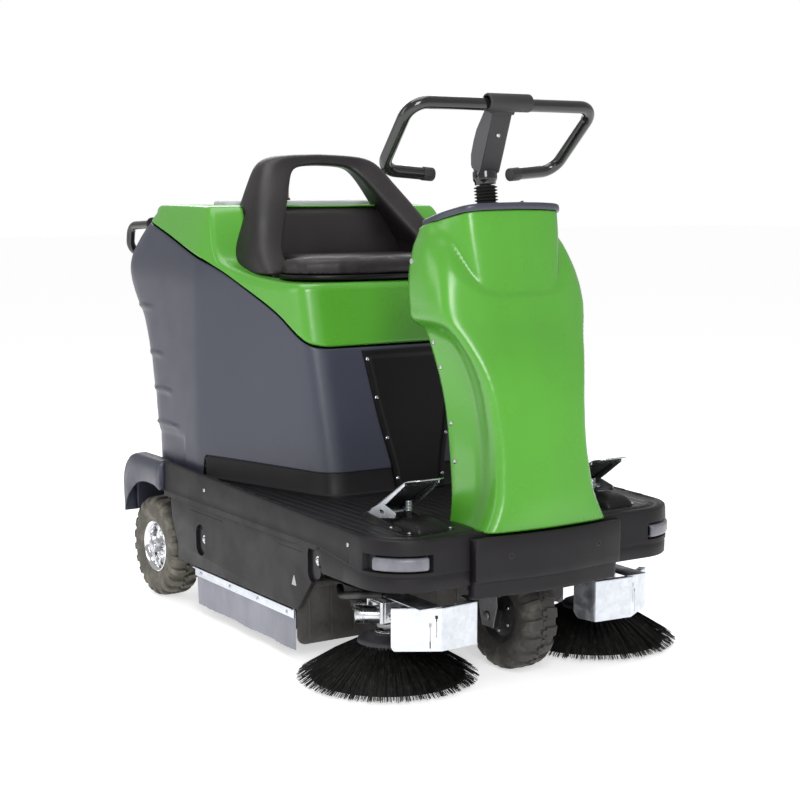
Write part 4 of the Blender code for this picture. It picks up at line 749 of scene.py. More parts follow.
def steering_top(bar_radius):
    bm = bmesh.new()
    profile = [(0.014, 0.876), (0.0262, 0.876)]
    folds = 6
    low, high = 0.894, 0.936
    for fold in range(folds):
        start = between(low, high, fold / folds)
        pitch = (high - low) / folds
        profile += [(0.02, start), (0.0215, start + pitch * 0.18), (0.0252, start + pitch * 0.38), (0.0262,
            start + pitch * 0.5), (0.0252, start + pitch * 0.62), (0.0215, start + pitch * 0.82)]
    profile += [(0.02, high), (0.014, high)]
    add_turned(bm, profile, STEER_PLACE, 48)
    dash = DASH_HEIGHT - DASH_FALL * 0.1 + DASH_THICK
    bmesh.ops.bisect_plane(bm, geom=everything(bm), plane_co=(0, 0.1, dash + 0.0006), plane_no=(0, -DASH_FALL, -1),
        clear_outer=True)
    piece("bellows", bm, "black_rubber", replaces="steering_gaiter", sharp=70)

    collar = turned(mm(2, 13.5, 938, 22.5, 938, 23.5, 940, 23.5, 944, 26.2, 948, 26.8, 952, 26.8, 966, 25.5, 969, 16,
        970), STEER_PLACE, 48)
    piece("collar", collar, "lacquer", "steering", sharp=40)

    foot = Vector((0, 0.108, 1.086))
    top = Vector((0, 0.058, 1.22))
    along = (top - foot).normalized()
    deep = along.cross(Vector((1, 0, 0))).normalized()
    if deep.y > 0:
        deep = -deep
    post = bmesh.new()
    rings = []
    for share, half, front, back in mm(4, -40, 18.5, 12, 12, 0, 22.5, 16.5, 16.5, 50, 23.5, 17.5, 21.5, 350, 24, 17.5,
            30, 620, 24.5, 17, 29, 880, 25, 16.5, 18, 1000, 25, 16.5, 15):
        centre = foot.lerp(top, share)
        ring = []
        for x, d in ((-1, front), (1, front), (1, -back), (-1, -back)):
            ring.append(centre + Vector((x * half, 0, 0)) + deep * d)
        rings.append(ring)
    add_loft(post, rings)
    piece("post", post, "grip", "steering", sharp=30, round_off=0.0025, round_steps=3)
    cheeks = bmesh.new()
    for side in (-1, 1):
        outline = mm(3, 20, 15, 15, 60, 15.5, 20.5, 200, 15.5, 28.5, 420, 15.5, 30, 600, 15, 28.5, 720, 15, 23.5, 950,
            14.5, 14)
        ring = [foot.lerp(top, s) + deep * f for s, f, _ in outline]
        ring += [foot.lerp(top, s) - deep * b for s, _, b in reversed(outline)]
        shift = Vector((side * 0.0246, 0, 0))
        rim = Vector((side * 0.0268, 0, 0))
        add_loft(cheeks, [[p + shift for p in ring], [p + rim for p in ring]])
    piece("post_cheeks", cheeks, "post_side", "steering", sharp=35, round_off=0.001)
    screw = bmesh.new()
    spot = foot.lerp(top, 0.62) + deep * 0.0173
    add_screw(screw, spot, deep, 0.0052, 0.003)
    piece("post_screw", screw, "steel", "steering")

    saddle = bmesh.new()
    bar = Vector((0, 0.026, 1.231))
    add_turned(saddle, mm(2, 14.2, -56, 17.8, -56, 19, -54.8, 19.5, -53, 19.5, 53, 19, 54.8, 17.8, 56, 14.2, 56),
        Matrix.Translation(bar) @ Matrix.Rotation(pi / 2, 4, "Y"), 48)
    neck = mm(3, -26, 40, 1206, 26, 40, 1206, 26, 78, 1214, -26, 78, 1214)
    crown = mm(3, -30, 24, 1236, 30, 24, 1236, 30, 40, 1240, -30, 40, 1240)
    add_loft(saddle, [[Vector(p) for p in neck], [Vector(p) for p in crown]])
    piece("bar_clamp", saddle, "grip", "steering", "steering_post", sharp=35)
    handlebar(bar, bar_radius)


def handlebar(bar, bar_radius):
    half = [(0.2445, bar.y + 0.006, bar.z - 0.004, 0.04), (0.232, 0.165, 1.09, 0.04), (0.105, 0.16, 1.08)]
    points = [(-x, y, z, *rest) for x, y, z, *rest in reversed(half)] + half
    path = bent_path(points, 12)
    bm = bmesh.new()
    add_tube(bm, path, bar_radius, 28)
    piece("handlebar_tube", bm, "lacquer", "steering", "handlebar", sharp=50)
    caps = bmesh.new()
    for side in (-1, 1):
        end = Vector((side * 0.105, 0.16, 1.08))
        back = Vector((side * 0.232, 0.165, 1.09))
        place = facing(end, back)
        add_turned(caps, mm(2, 0, -2.2, 11.8, -2.2, 14, -1.2, 14.8, 1, 15, 24, 14.6, 25.5, 13.6, 25.5), place, 36)
    piece("bar_end_caps", caps, "grip", "steering", slot="black_rubber", sharp=40)


# ---- body shell and hood

BODY_HEART = Vector((0, 0.72))
HOOD_TOP = 1.006
SEAM_HALF = 0.0022
# (height, front wall, front half width, side half width, rear end)
BODY_OUTLINE = mm(5, 340, 362, 255, 370, 1075, 450, 379, 262, 370, 1085, 550, 395, 268, 370, 1105, 650, 411, 274, 370,
    1132, 720, 422, 278, 370, 1165, 780, 431, 281, 371, 1215, 830, 439, 284, 371, 1243, 870, 446, 287, 367, 1242, 910,
    452, 289, 358, 1218, 960, 460, 292, 345, 1172, 1010, 468, 295, 331, 1112)
SEAM_LINE = mm(2, 300, 664, 380, 672, 440, 698, 520, 757, 620, 811, 720, 857, 860, 898, 1000, 936, 1130, 967, 1400,
    1020)
# Ribs moulded round the rear corners, as (height, how far forward they run)
CORNER_RIBS = mm(2, 745, 1035, 628, 975, 538, 925, 452, 885)


def body_half(height):
    front, narrow, wide, rear = along_table(BODY_OUTLINE, height)
    corner = 0.075
    half = [(0, front), (narrow - 0.05, front), (narrow - 0.015, front + 0.012), (narrow, front + 0.045)]
    half += [(wide - 0.0025, 0.8), (wide, 0.88), (wide, rear - corner)]
    for step in range(1, 5):
        angle = pi / 2 * step / 4
        half.append((wide - corner + corner * cos(angle), rear - corner + corner * sin(angle)))
    half.append((0, rear))
    return half


BODY_CACHE = {}


def body_reach(angle, height):
    """Distance from the heart to the body's skin, read from sections kept every few millimetres."""
    step = 0.004
    index = int(height / step)
    shares = []
    for key in (index, index + 1):
        if key not in BODY_CACHE:
            half = body_half(key * step)
            BODY_CACHE[key] = [reach(half, BODY_HEART, pi * n / 240, 0.055) for n in range(241)]
        row = BODY_CACHE[key]
        spot = min(abs(angle), pi) / pi * 240
        low = min(int(spot), 239)
        shares.append(between(row[low], row[low + 1], spot - low))
    return between(shares[0], shares[1], height / step - index)


def body_point(angle, height, inset=0):
    distance = body_reach(angle, height) - inset
    return Vector((distance * sin(angle), BODY_HEART.y - distance * cos(angle), height))


def seam_height(angle):
    height = 0.8
    for _ in range(6):
        height = along_table(SEAM_LINE, body_point(angle, height).y)[0]
    return height


def seat_line(y):
    """Top edge of the hood: low along the seat, full height behind it."""
    return along_table(((0.4, 0.832), (0.52, 0.834), (0.6, 0.843), (0.66, 0.856), (0.715, 0.876), (0.742, 0.905),
        (0.77, 0.962), (0.792, 0.996), (0.815, HOOD_TOP), (1.2, HOOD_TOP)), y)[0]


def corner_relief(point, height):
    """The rear corners' ribs and the sunk panel below them, as a distance outwards."""
    out = 0
    for rib, reach_forward in CORNER_RIBS:
        rise = eased(1 - abs(height - rib) / 0.0085)
        out += 0.0042 * rise * eased((point.y - reach_forward) / 0.035)
        below = rib - height
        if 0 < below < 0.05:
            out -= 0.0018 * (1 - below / 0.05) * eased((point.y - reach_forward) / 0.05)
    sunk = eased((0.437 - height) / 0.008) * eased((point.y - 0.868) / 0.012)
    return out - 0.004 * sunk


def shell_skin():
    columns, rows = 360, 96

    def place(across, up):
        angle = (across * 2 - 1) * pi
        top = seam_height(angle) - SEAM_HALF
        y = body_point(angle, 0.4).y
        low = between(0.3995, 0.3405, eased((y - 0.776) / 0.006))
        height = between(low, top, up)
        point = body_point(angle, height)
        if point.y > 0.82:
            point = body_point(angle, height, -corner_relief(point, height))
        if up == 1:
            point = body_point(angle, top, 0.003)
        return point

    bm = formed_sheet(columns, rows, place)
    piece("body_shell_skin", bm, "slate", replaces="body_shell", sharp=50, wall=0.0045, inside=(0, 0.72, 0.6))


def hood_skin():
    columns = 480
    wall_rows = 26
    edge_rows = 8
    top_rows = 10
    rows = wall_rows + edge_rows + top_rows
    shoulder = 0.02

    def place(across, up):
        angle = (across * 2 - 1) * pi
        row = round(up * rows)
        low = seam_height(angle) + SEAM_HALF
        edge = body_point(angle, 0.95)
        for _ in range(3):
            edge = body_point(angle, seat_line(edge.y))
        top = seat_line(edge.y)
        round_low = max(top - shoulder, low + 0.004)
        if row <= wall_rows:
            height = between(low, round_low, row / wall_rows)
            return body_point(angle, height, 0.003 if row == 0 else 0)
        start = body_reach(angle, round_low)
        if row <= wall_rows + edge_rows:
            turn = pi / 2 * (row - wall_rows) / edge_rows
            distance = start - shoulder * (1 - cos(turn))
            height = round_low + (top - round_low) * sin(turn)
        else:
            share = (row - wall_rows - edge_rows) / top_rows
            outer = start - shoulder
            away = -cos(angle)
            inner = outer - 0.07
            if away > 0.05:
                inner = min(inner, 0.08 / away)
            distance = between(outer, inner, share)
            height = top
        return Vector((distance * sin(angle), BODY_HEART.y - distance * cos(angle), height))

    bm = formed_sheet(columns, rows, place)

    def lid_faces(half, front, rear):
        spots = [(face, face.calc_center_median()) for face in bm.faces]
        return [f for f, at in spots if at.z > HOOD_TOP - 0.001 and abs(at.x) < half and front < at.y < rear]

    # the mouth under the filter lid
    for spot, normal in (((0.19, 0, 0), (1, 0, 0)), ((-0.19, 0, 0), (1, 0, 0)), ((0, 0.913, 0), (0, 1, 0)), ((0,
            0.978, 0), (0, 1, 0))):
        faces = lid_faces(0.24, 0.875, 1.015)
        verts = {vert for face in faces for vert in face.verts}
        edges = {edge for face in faces for edge in face.edges}
        bmesh.ops.bisect_plane(bm, geom=list(verts) + list(edges) + faces, plane_co=spot, plane_no=normal, dist=1e-5)
    bmesh.ops.delete(bm, geom=lid_faces(0.19, 0.913, 0.978), context="FACES")
    piece("seat_hood_skin", bm, "green", "hood", "seat_hood", sharp=50, wall=0.004, inside=(0, 0.72, 0.6))


PANEL_HALF = mm(2, 340, 68, 400, 75, 520, 102, 690, 133)


def plinth_and_panel():
    rows_at = mm(2, 340.5, 0, 340.5, -3.5, 347.5, -4, 350, -1, 352, 0.5, 392, 1.2, 398.5, 2.5, 398.8, 12)

    def place(across, up):
        height, inset = rows_at[round(up * (len(rows_at) - 1))]
        return body_point((across * 2 - 1) * 2.02, height, inset)

    bm = formed_sheet(220, len(rows_at) - 1, place)
    bmesh.ops.bisect_plane(bm, geom=everything(bm), plane_co=(0, 0.774, 0), plane_no=(0, 1, 0), clear_outer=True)
    piece("plinth", bm, "black", replaces="body_plinth", sharp=40, wall=0.004, inside=(0, 0.6, 0.37))

    def front_place(across, up):
        side = across * 2 - 1
        height = between(0.3408, 0.6755, up)
        half = along_table(PANEL_HALF, height)[0]
        x = side * half
        wall = body_point(atan2(x, 0.3), height).y
        edge = min(1, (1 - abs(side)) * half / 0.004)
        out = 0.0055 * sqrt(1 - (1 - edge) ** 2) - 0.001
        sunk = 0.0022 * eased(((1 - abs(side)) * half - 0.014) / 0.004) * min(eased((height - 0.356) / 0.005),
            eased((0.662 - height) / 0.005))
        return Vector((x, wall - out + sunk, height))

    panel = formed_sheet(64, 70, front_place)
    piece("front_panel", panel, "panel", replaces="seat_base_panel", sharp=50, wall=0.003, inside=(0, 0.6, 0.5))
    screws = bmesh.new()
    for height in (0.375, 0.47, 0.565, 0.655):
        half = along_table(PANEL_HALF, height)[0]
        x = half - 0.008
        wall = body_point(atan2(x, 0.3), height).y
        add_screw(screws, (x, wall - 0.0045, height), (0, -1, 0.16), 0.0046, 0.0028)
    on_both_sides(screws)
    piece("front_panel_screws", screws, "steel")


# ---- seat

# Stations up one side of the arch: (share, outer x, outer z, inner x, inner z)
ARCH = mm(5, 0, 298, 842, 206, 842, 100, 297, 872, 206, 872, 220, 286, 910, 203, 905, 360, 262, 960, 178, 950, 500,
    233, 1014, 146, 1006, 630, 206, 1060, 119, 1056, 730, 182, 1098, 99, 1086, 800, 157, 1120, 80, 1099, 880, 110,
    1131, 50, 1104, 1000, 0, 1136, 0, 1106)


def seat_arch():
    rings = []
    stations = 56
    for index in range(stations + 1):
        run = index / stations * 2 - 1
        outer_x, outer_z, inner_x, inner_z = along_table(ARCH, 1 - abs(run))
        side = copysign(1, run)
        outer = Vector((side * outer_x, 0, outer_z))
        inner = Vector((side * inner_x, 0, inner_z))
        middle = (outer + inner) / 2
        half = (outer - inner) / 2
        front, rear = 0.598 + (middle.z - 0.85) * 0.8, 0.8 + (middle.z - 0.85) * 0.26
        depth = (rear - front) / 2
        ring = []
        for step in range(24):
            angle = 2 * pi * step / 24
            wide = copysign(abs(cos(angle)) ** 0.62, cos(angle))
            deep = copysign(abs(sin(angle)) ** 0.55, sin(angle))
            point = middle + half * wide
            point.y = (front + rear) / 2 + depth * deep
            # the front edge leans in towards the sitter
            point.x -= side * 0.01 * (deep < 0) * abs(deep) * min(1, abs(middle.x) / 0.1)
            ring.append(point)
        rings.append(ring)
    bm = lofted(rings)
    piece("seat_arch", bm, "skin", "hood", "seat_shell", sharp=70, smoothing=1)

    def back_place(across, up):
        side = across * 2 - 1
        height = between(0.858, 1.004, up)
        half = along_table(mm(2, 850, 226, 900, 222, 950, 196, 1004, 166), height)[0]
        lean = 0.775 + (height - 0.87) * 0.16
        bulge = 0.016 * (1 - side ** 4) * sin(pi * min(1, up * 0.9 + 0.1)) ** 0.5
        top = eased((up - 0.86) / 0.14)
        return Vector((side * half, lean - bulge + 0.02 * top * top, height - 0.004 * top * side ** 4))

    back = formed_sheet(40, 28, back_place)
    piece("seat_back", back, "skin", "hood", sharp=70, wall=0.045, round_off=0.007, round_steps=3, inside=(0, 0.9,
        0.93))
    # the moulded pan follows the pad's outline round the seat's foot
    rim = bmesh.new()
    levels = mm(2, 7.5, 836.8, 3, 838.5, 1, 841.5, 1, 846.8, 2.2, 848.4)
    add_loft(rim, [pad_ring(inset, z) for inset, z in levels])
    add_box(rim, (-0.262, 0.6, 0.8368), (0.262, 0.8, 0.8475), 0.004, 3)
    piece("seat_pan", rim, "panel", "hood", slot="seat_skin")


# Half the pad's outline, from the middle of its front round the arm to its rear
PAD_LINE = mm(2, 0, 448, 60, 448.8, 112, 453.5, 160, 462.5, 200, 477.5, 230, 497, 249, 521, 257.5, 550, 257.5, 578,
    250, 588.5, 206, 593, 201.5, 605, 201.5, 700, 189, 750.5)


def pad_ring(inset, z):
    """The pad's outline at one height, drawn in by an inset."""
    heart = Vector((0, 0.6))
    ring = []
    line = [Vector(point) for point in PAD_LINE]
    for point in line + [Vector((-p.x, p.y)) for p in reversed(line[1:])]:
        away = point - heart
        place = heart + away * max(0.05, 1 - inset / max(away.length, 0.05))
        ring.append(Vector((place.x, place.y, z)))
    return ring


def cushion_form():
    """The seat pad before it is filled: a thick pad with a bowed, rounded front."""
    low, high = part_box("seat_cushion")
    form = bmesh.new()
    rings = []
    for step in range(7):
        turn = pi / 2 * step / 6
        rings.append(pad_ring(0.004 + 0.003 * (1 - sin(turn)), low.z + 0.0003 + 0.003 * (1 - cos(turn))))
    for step in range(9):
        turn = pi / 2 * step / 8
        rings.append(pad_ring(0.004 + 0.015 * (1 - cos(turn)), high.z - 0.018 + 0.0145 * sin(turn)))
    add_loft(form, rings)
    bmesh.ops.translate(form, vec=(0, AXLE_Y, 0), verts=form.verts)
    return form


def seat_cushion(fill):
    """A filled pad: cloth under pressure, then seam and piping worked in."""
    form = cushion_form()
    mesh = bpy.data.meshes.new("seat_pad")
    form.to_mesh(mesh)
    form.free()
    obj = bpy.data.objects.new("seat_pad", mesh)
    scene = bpy.context.scene
    scene.collection.objects.link(obj)
    grid = obj.modifiers.new("even mesh", "REMESH")
    grid.mode = "VOXEL"
    grid.voxel_size = 0.0055
    apply_modifiers(obj)
    rest = [vert.co.copy() for vert in obj.data.vertices]
    cloth = obj.modifiers.new("filling", "CLOTH")
    cloth.settings.use_pressure = True
    cloth.settings.uniform_pressure_force = 4
    cloth.settings.effector_weights.gravity = 0
    cloth.settings.quality = 5
    cloth.settings.tension_stiffness = 18
    cloth.settings.mass = 0.3
    for number in range(1, 21):
        scene.frame_set(number)
    apply_modifiers(obj)
    scene.frame_set(1)
    low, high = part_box("seat_cushion")
    cap = 0.0075
    for vert, start in zip(obj.data.vertices, rest):
        move = vert.co - start
        if move.length > cap:
            vert.co = start + move.normalized() * cap
        vert.co.z = max(vert.co.z, low.z + 0.0002)
        # the welt round the pad's lower edge
        rise = (vert.co.z - (low.z + 0.0075)) / 0.003
        heart = (low + high) / 2
        away = Vector((vert.co.x - heart.x, (vert.co.y - heart.y) * 1.2, 0))
        if abs(rise) < 1 and away.length > 0.12:
            vert.co -= away.normalized() * 0.0018 * (1 - rise * rise)
    for polygon in obj.data.polygons:
        polygon.use_smooth = True
    fair = obj.modifiers.new("smoothing", "SUBSURF")
    fair.levels = 1
    fair.render_levels = 1
    obj.data.materials.clear()
    obj.data.materials.append(LOOKS["skin"])
    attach(obj, "hood")
    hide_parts("seat_cushion")


def apply_modifiers(obj):
    graph = bpy.context.evaluated_depsgraph_get()
    mesh = bpy.data.meshes.new_from_object(obj.evaluated_get(graph))
    old = obj.data
    obj.modifiers.clear()
    obj.data = mesh
    bpy.data.meshes.remove(old)


# ---- hood fittings

def lid_beacon_handle():
    lid = bmesh.new()
    rings = []
    for z, inset in mm(2, 1006.6, 4, 1006.6, 0, 1012, 0, 1016.2, 3, 1018, 9, 1018.2, 16, 1017.2, 19, 1017.2, 30):
        half, front, rear, corner = 0.225 - inset, 0.893 + inset, 0.998 - inset, 0.026 - inset * 0.6
        ring = []
        for cx, cy, start in ((half - corner, front + corner, -90), (half - corner, rear - corner, 0),
                (-half + corner, rear - corner, 90), (-half + corner, front + corner, 180)):
            for step in range(7):
                angle = radians(start + 90 * step / 6)
                ring.append(Vector((cx + corner * cos(angle), cy + corner * sin(angle), z)))
        rings.append(ring)
    add_loft(lid, rings)
    piece("lid", lid, "pale", "filter_lid", "filter_lid", sharp=40)

    place = Matrix.Translation((0, 1.045, 1.0064))
    base = turned(mm(2, 0, 0, 36, 0, 36.2, 3, 34.5, 6.5, 31.5, 9, 30.5, 16, 29, 18, 0, 18), place, 48)
    piece("beacon_foot", base, "black", "hood", "beacon_base")
    lens = bmesh.new()
    profile = mm(2, 0, 18.3, 26.2, 18.3, 28.2, 20)
    for ring in range(6):
        start = 0.0225 + ring * 0.0058
        profile += [(0.0282, start), (0.027, start + 0.0022), (0.0282, start + 0.0044)]
    profile += mm(2, 27.5, 62, 23.5, 67.2, 15, 69.8, 0, 70.3)
    add_turned(lens, profile, place, 48)
    piece("beacon_dome", lens, "amber", "hood", "beacon_lens", sharp=50)

    handle = bmesh.new()
    half = [(0.334, 1.2635, 0.878, 0.034), (0.334, 1.25, 0.95, 0.03), (0.322, 1.12, 0.957)]
    points = [(-x, y, z, *rest) for x, y, z, *rest in reversed(half)] + half
    add_tube(handle, bent_path(points, 10), 0.0112, 24)
    piece("rear_bar", handle, "lacquer", replaces="rear_handle")
    flanges = turned(mm(2, 11.2, 0, 17.5, 0, 17.5, 4, 15.5, 6, 11.2, 6), facing((0.3235, 1.136, 0.9565), (0.334, 1.26,
        0.95)), 32)
    on_both_sides(flanges)
    piece("rear_bar_flanges", flanges, "black_rubber")


# ---- deck

DECK_HALF = 0.4
DECK_FRONT = -0.12
DECK_CORNER = 0.11
DECK_REAR = 0.93


def deck_edge(run):
    """A point on the deck's outline and its outward direction. run is the length from the front's middle."""
    flat = DECK_HALF - DECK_CORNER
    bend = pi / 2 * DECK_CORNER
    side = copysign(1, run)
    length = abs(run)
    if length <= flat:
        point, out = Vector((length, DECK_FRONT)), Vector((0, -1))
    elif length <= flat + bend:
        angle = (length - flat) / DECK_CORNER
        out = Vector((sin(angle), -cos(angle)))
        point = Vector((flat, DECK_FRONT + DECK_CORNER)) + out * DECK_CORNER
    else:
        out = Vector((1, 0))
        point = Vector((DECK_HALF, DECK_FRONT + DECK_CORNER + length - flat - bend))
    return Vector((point.x * side, point.y, 0)), Vector((out.x * side, out.y, 0))


DECK_RUN = DECK_HALF - DECK_CORNER + pi / 2 * DECK_CORNER + DECK_REAR - DECK_FRONT - DECK_CORNER


def deck_and_mat(ribs):
    columns = 420

    def rows_for(y):
        top = 0.343 + 0.0276 * max(0, y + 0.02)
        low = between(0.233, 0.2855, eased((y - 0.142) / 0.012))
        ledge = between(0.264, 0.2885, min(1, max(0, (y + 0.05) / 0.2)))
        return ((0.012, low + 0.0005), (0.002, low), (0.0004, low + 0.002), (0, ledge - 0.0065), (0.0012,
            ledge - 0.003), (0.0012, ledge - 0.001), (-0.0016, ledge + 0.0015), (-0.0016,
            0.2735 if ledge < 0.27 else ledge + 0.004), (-0.0012, 0.2765 if ledge < 0.273 else ledge + 0.005),
            (-0.001, 0.3075), (-0.0008, 0.3105), (0, top - 0.009), (0.0015, top - 0.003), (0.005, top - 0.0004),
            (0.0085, top - 0.0004), (0.0125, top - 0.004), (0.016, 0.3412), (0.022, 0.3405), (0.026, 0.3403))

    count = 19

    def place(across, up):
        run = (across * 2 - 1) * DECK_RUN
        point, out = deck_edge(run)
        inset, height = rows_for(point.y)[round(up * (count - 1))]
        window = eased((abs(point.x) - 0.2885) / 0.003) * eased((-0.026 - point.y) / 0.003)
        if abs(point.x) < 0.3:
            window = eased((abs(point.x) - 0.2885) / 0.003)
        if 0.2755 < height < 0.309 and inset < 0:
            inset += 0.013 * window
        return point - out * inset + Vector((0, 0, height))

    bm = formed_sheet(columns, count - 1, place)
    piece("deck_edge", bm, "black", replaces="footwell_deck", sharp=38, wall=0.003, inside=(0, 0.4, 0.3))

    # the ribbed floor: rounded ribs that run from front to rear

    wide = 0.372
    across_steps = ribs * 8

    def mat_place(across, up):
        x = (across * 2 - 1) * wide
        phase = across * ribs % 1
        rise = 0.0022 * eased(min(phase, 1 - phase) / 0.16) if 0 < across < 1 else 0
        front = DECK_FRONT + 0.027
        bend = DECK_CORNER - 0.026
        over = abs(x) - (DECK_HALF - DECK_CORNER)
        if over > 0:
            front = DECK_FRONT + DECK_CORNER - sqrt(max(bend * bend - over * over, 0))
        rear = 0.925 if abs(x) > 0.27 else 1.05
        fade = min(1, up / 0.02, (1 - up) / 0.02)
        return Vector((x, between(front, rear, up), 0.3402 + rise * fade))

    mat = formed_sheet(across_steps, 50, mat_place)
    piece("ribbed_mat", mat, "tread", sharp=40, wall=0.005, inside=(0, 0.4, 0.2))
    bars = bmesh.new()
    for step in range(11):
        y = 0.02 + step * 0.062
        height = 0.343 + 0.0276 * max(0, y + 0.02)
        add_box(bars, (0.3905, y, height - 0.003), (0.3935, y + 0.034, height + 0.0012), 0.0012, 2)
    on_both_sides(bars)
    piece("step_edge_bars", bars, "tread")
    screws = bmesh.new()
    for y, z in ((0.7, 0.3275), (0.03, 0.3165)):
        add_screw(screws, (0.4006, y, z), (1, 0, 0), 0.0048, 0.0026)
    on_both_sides(screws)
    piece("deck_screws", screws, "steel")
    lenses()


def lenses():
    start = DECK_HALF - DECK_CORNER + 0.006
    flat = DECK_HALF - DECK_CORNER
    end = flat + acos(min(1, 0.025 / DECK_CORNER)) * DECK_CORNER - 0.016
    rows = mm(2, 10, 277.5, 0.5, 277.8, -4, 280, -5.2, 284, -5.5, 291.5, -5.2, 299, -4, 303, 0.5, 305.2, 10, 305.5)
    for side, name in SIDES:
        def place(across, up):
            inset, height = rows[round(up * (len(rows) - 1))]
            nose = min(across, 1 - across) * (end - start)
            inset += 0.0075 * (1 - sqrt(max(0, 1 - (1 - min(1, nose / 0.01)) ** 2)))
            point, out = deck_edge(side * between(start, end, across))
            return point - out * inset + Vector((0, 0, height))

        bm = formed_sheet(40, len(rows) - 1, place)
        piece("lamp_lens_" + name, bm, "lens", replaces="corner_lens_" + name, sharp=60, wall=0.003, inside=(0, 0.2,
            0.29))


def bumper():
    rows_at = mm(3, 335.8, 12, 1000, 336.2, 4, 1000, 335, 1.2, 1000, 332, 0, 1000, 300, -0.2, 1000, 260, 0.6, 995,
        247, 1.4, 992, 242.5, 3.6, 988, 240, 8, 984, 239, 10, 982, 215, 11.2, 976, 208, 12, 972, 205.6, 14.5, 966,
        205.2, 22, 955)
    half_width, bow = 0.198, 0.026
    radius = (half_width ** 2 + bow ** 2) / (2 * bow)

    def place(across, up):
        height, inset, share = rows_at[round(up * (len(rows_at) - 1))]
        side = across * 2 - 1
        x = side * half_width
        ahead = radius - sqrt(radius * radius - x * x)
        edge = (1 - abs(side)) * half_width
        turn = 0.01 * (1 - sqrt(max(0, 1 - (1 - min(1, edge / 0.01)) ** 2)))
        if abs(side) > 0.985:
            turn = 0.016
        return Vector((x * share, -0.165 + ahead + inset + turn, height - 0.004 * abs(side) ** 8))

    bm = formed_sheet(96, len(rows_at) - 1, place)
    piece("bumper", bm, "black", replaces="front_bumper", sharp=40, wall=0.006, inside=(0, 0.1, 0.28))
    screws = bmesh.new()
    x = 0.116
    y = -0.165 + radius - sqrt(radius * radius - x * x)
    add_turned(screws, mm(2, 6.2, 0, 6.2, 1.2, 4.5, 1.4, 4, -2, 0, -2), facing((x, y + 0.0006, 0.293), (x + 0.05,
        y - 0.4, 0.293)), 20)
    on_both_sides(screws)
    piece("bumper_screws", screws, "paint", slot="plated_steel")


# ---- skirts, flaps and mudguards

def prism_form(outline, low, high, bevel=0, steps=3):
    """An outline in (y, z) given thickness along x, its outer edge rounded."""
    bm = lofted(slab(outline, (low, high)))
    bmesh.ops.recalc_face_normals(bm, faces=bm.faces)
    if bevel:
        edges = [edge for edge in bm.edges if all(abs(vert.co.x - high) < 1e-6 for vert in edge.verts)]
        soften(bm, edges, bevel, steps)
    return bm


def rounded_outline(corners, steps=5):
    """(y, z, radius) corners made into a smooth closed outline."""
    outline = []
    count = len(corners)
    for index, (y, z, radius) in enumerate(corners):
        here = Vector((y, z))
        back = (Vector(corners[index - 1][:2]) - here).normalized()
        ahead = (Vector(corners[(index + 1) % count][:2]) - here).normalized()
        if radius <= 0:
            outline.append((y, z))
            continue
        half = back.angle(ahead) / 2
        middle = here + (back + ahead).normalized() * radius / sin(half)
        start = here + back * radius / tan(half) - middle
        end = here + ahead * radius / tan(half) - middle
        for step in range(steps + 1):
            spoke = start.normalized().slerp(end.normalized(), step / steps)
            outline.append(tuple(middle + spoke.normalized() * radius))
    return outline


def stadium(x, y, z, radius, tall, steps):
    """An upright slot's outline: two half rounds with straight sides between them."""
    ring = []
    for step in range(steps):
        angle = 2 * pi * step / steps
        rise = copysign(tall, sin(angle)) + radius * sin(angle)
        ring.append(Vector((x, y + radius * cos(angle), z + rise)))
    return ring


def spaced(line, share):
    """The point at a share of a line's length."""
    lengths = [0]
    for start, end in zip(line, line[1:]):
        lengths.append(lengths[-1] + (Vector(end) - Vector(start)).length)
    want = share * lengths[-1]
    for index in range(len(line) - 1):
        if want <= lengths[index + 1] + 1e-9:
            part = (want - lengths[index]) / max(lengths[index + 1] - lengths[index], 1e-9)
            return Vector(line[index]).lerp(Vector(line[index + 1]), part)
    return Vector(line[-1])


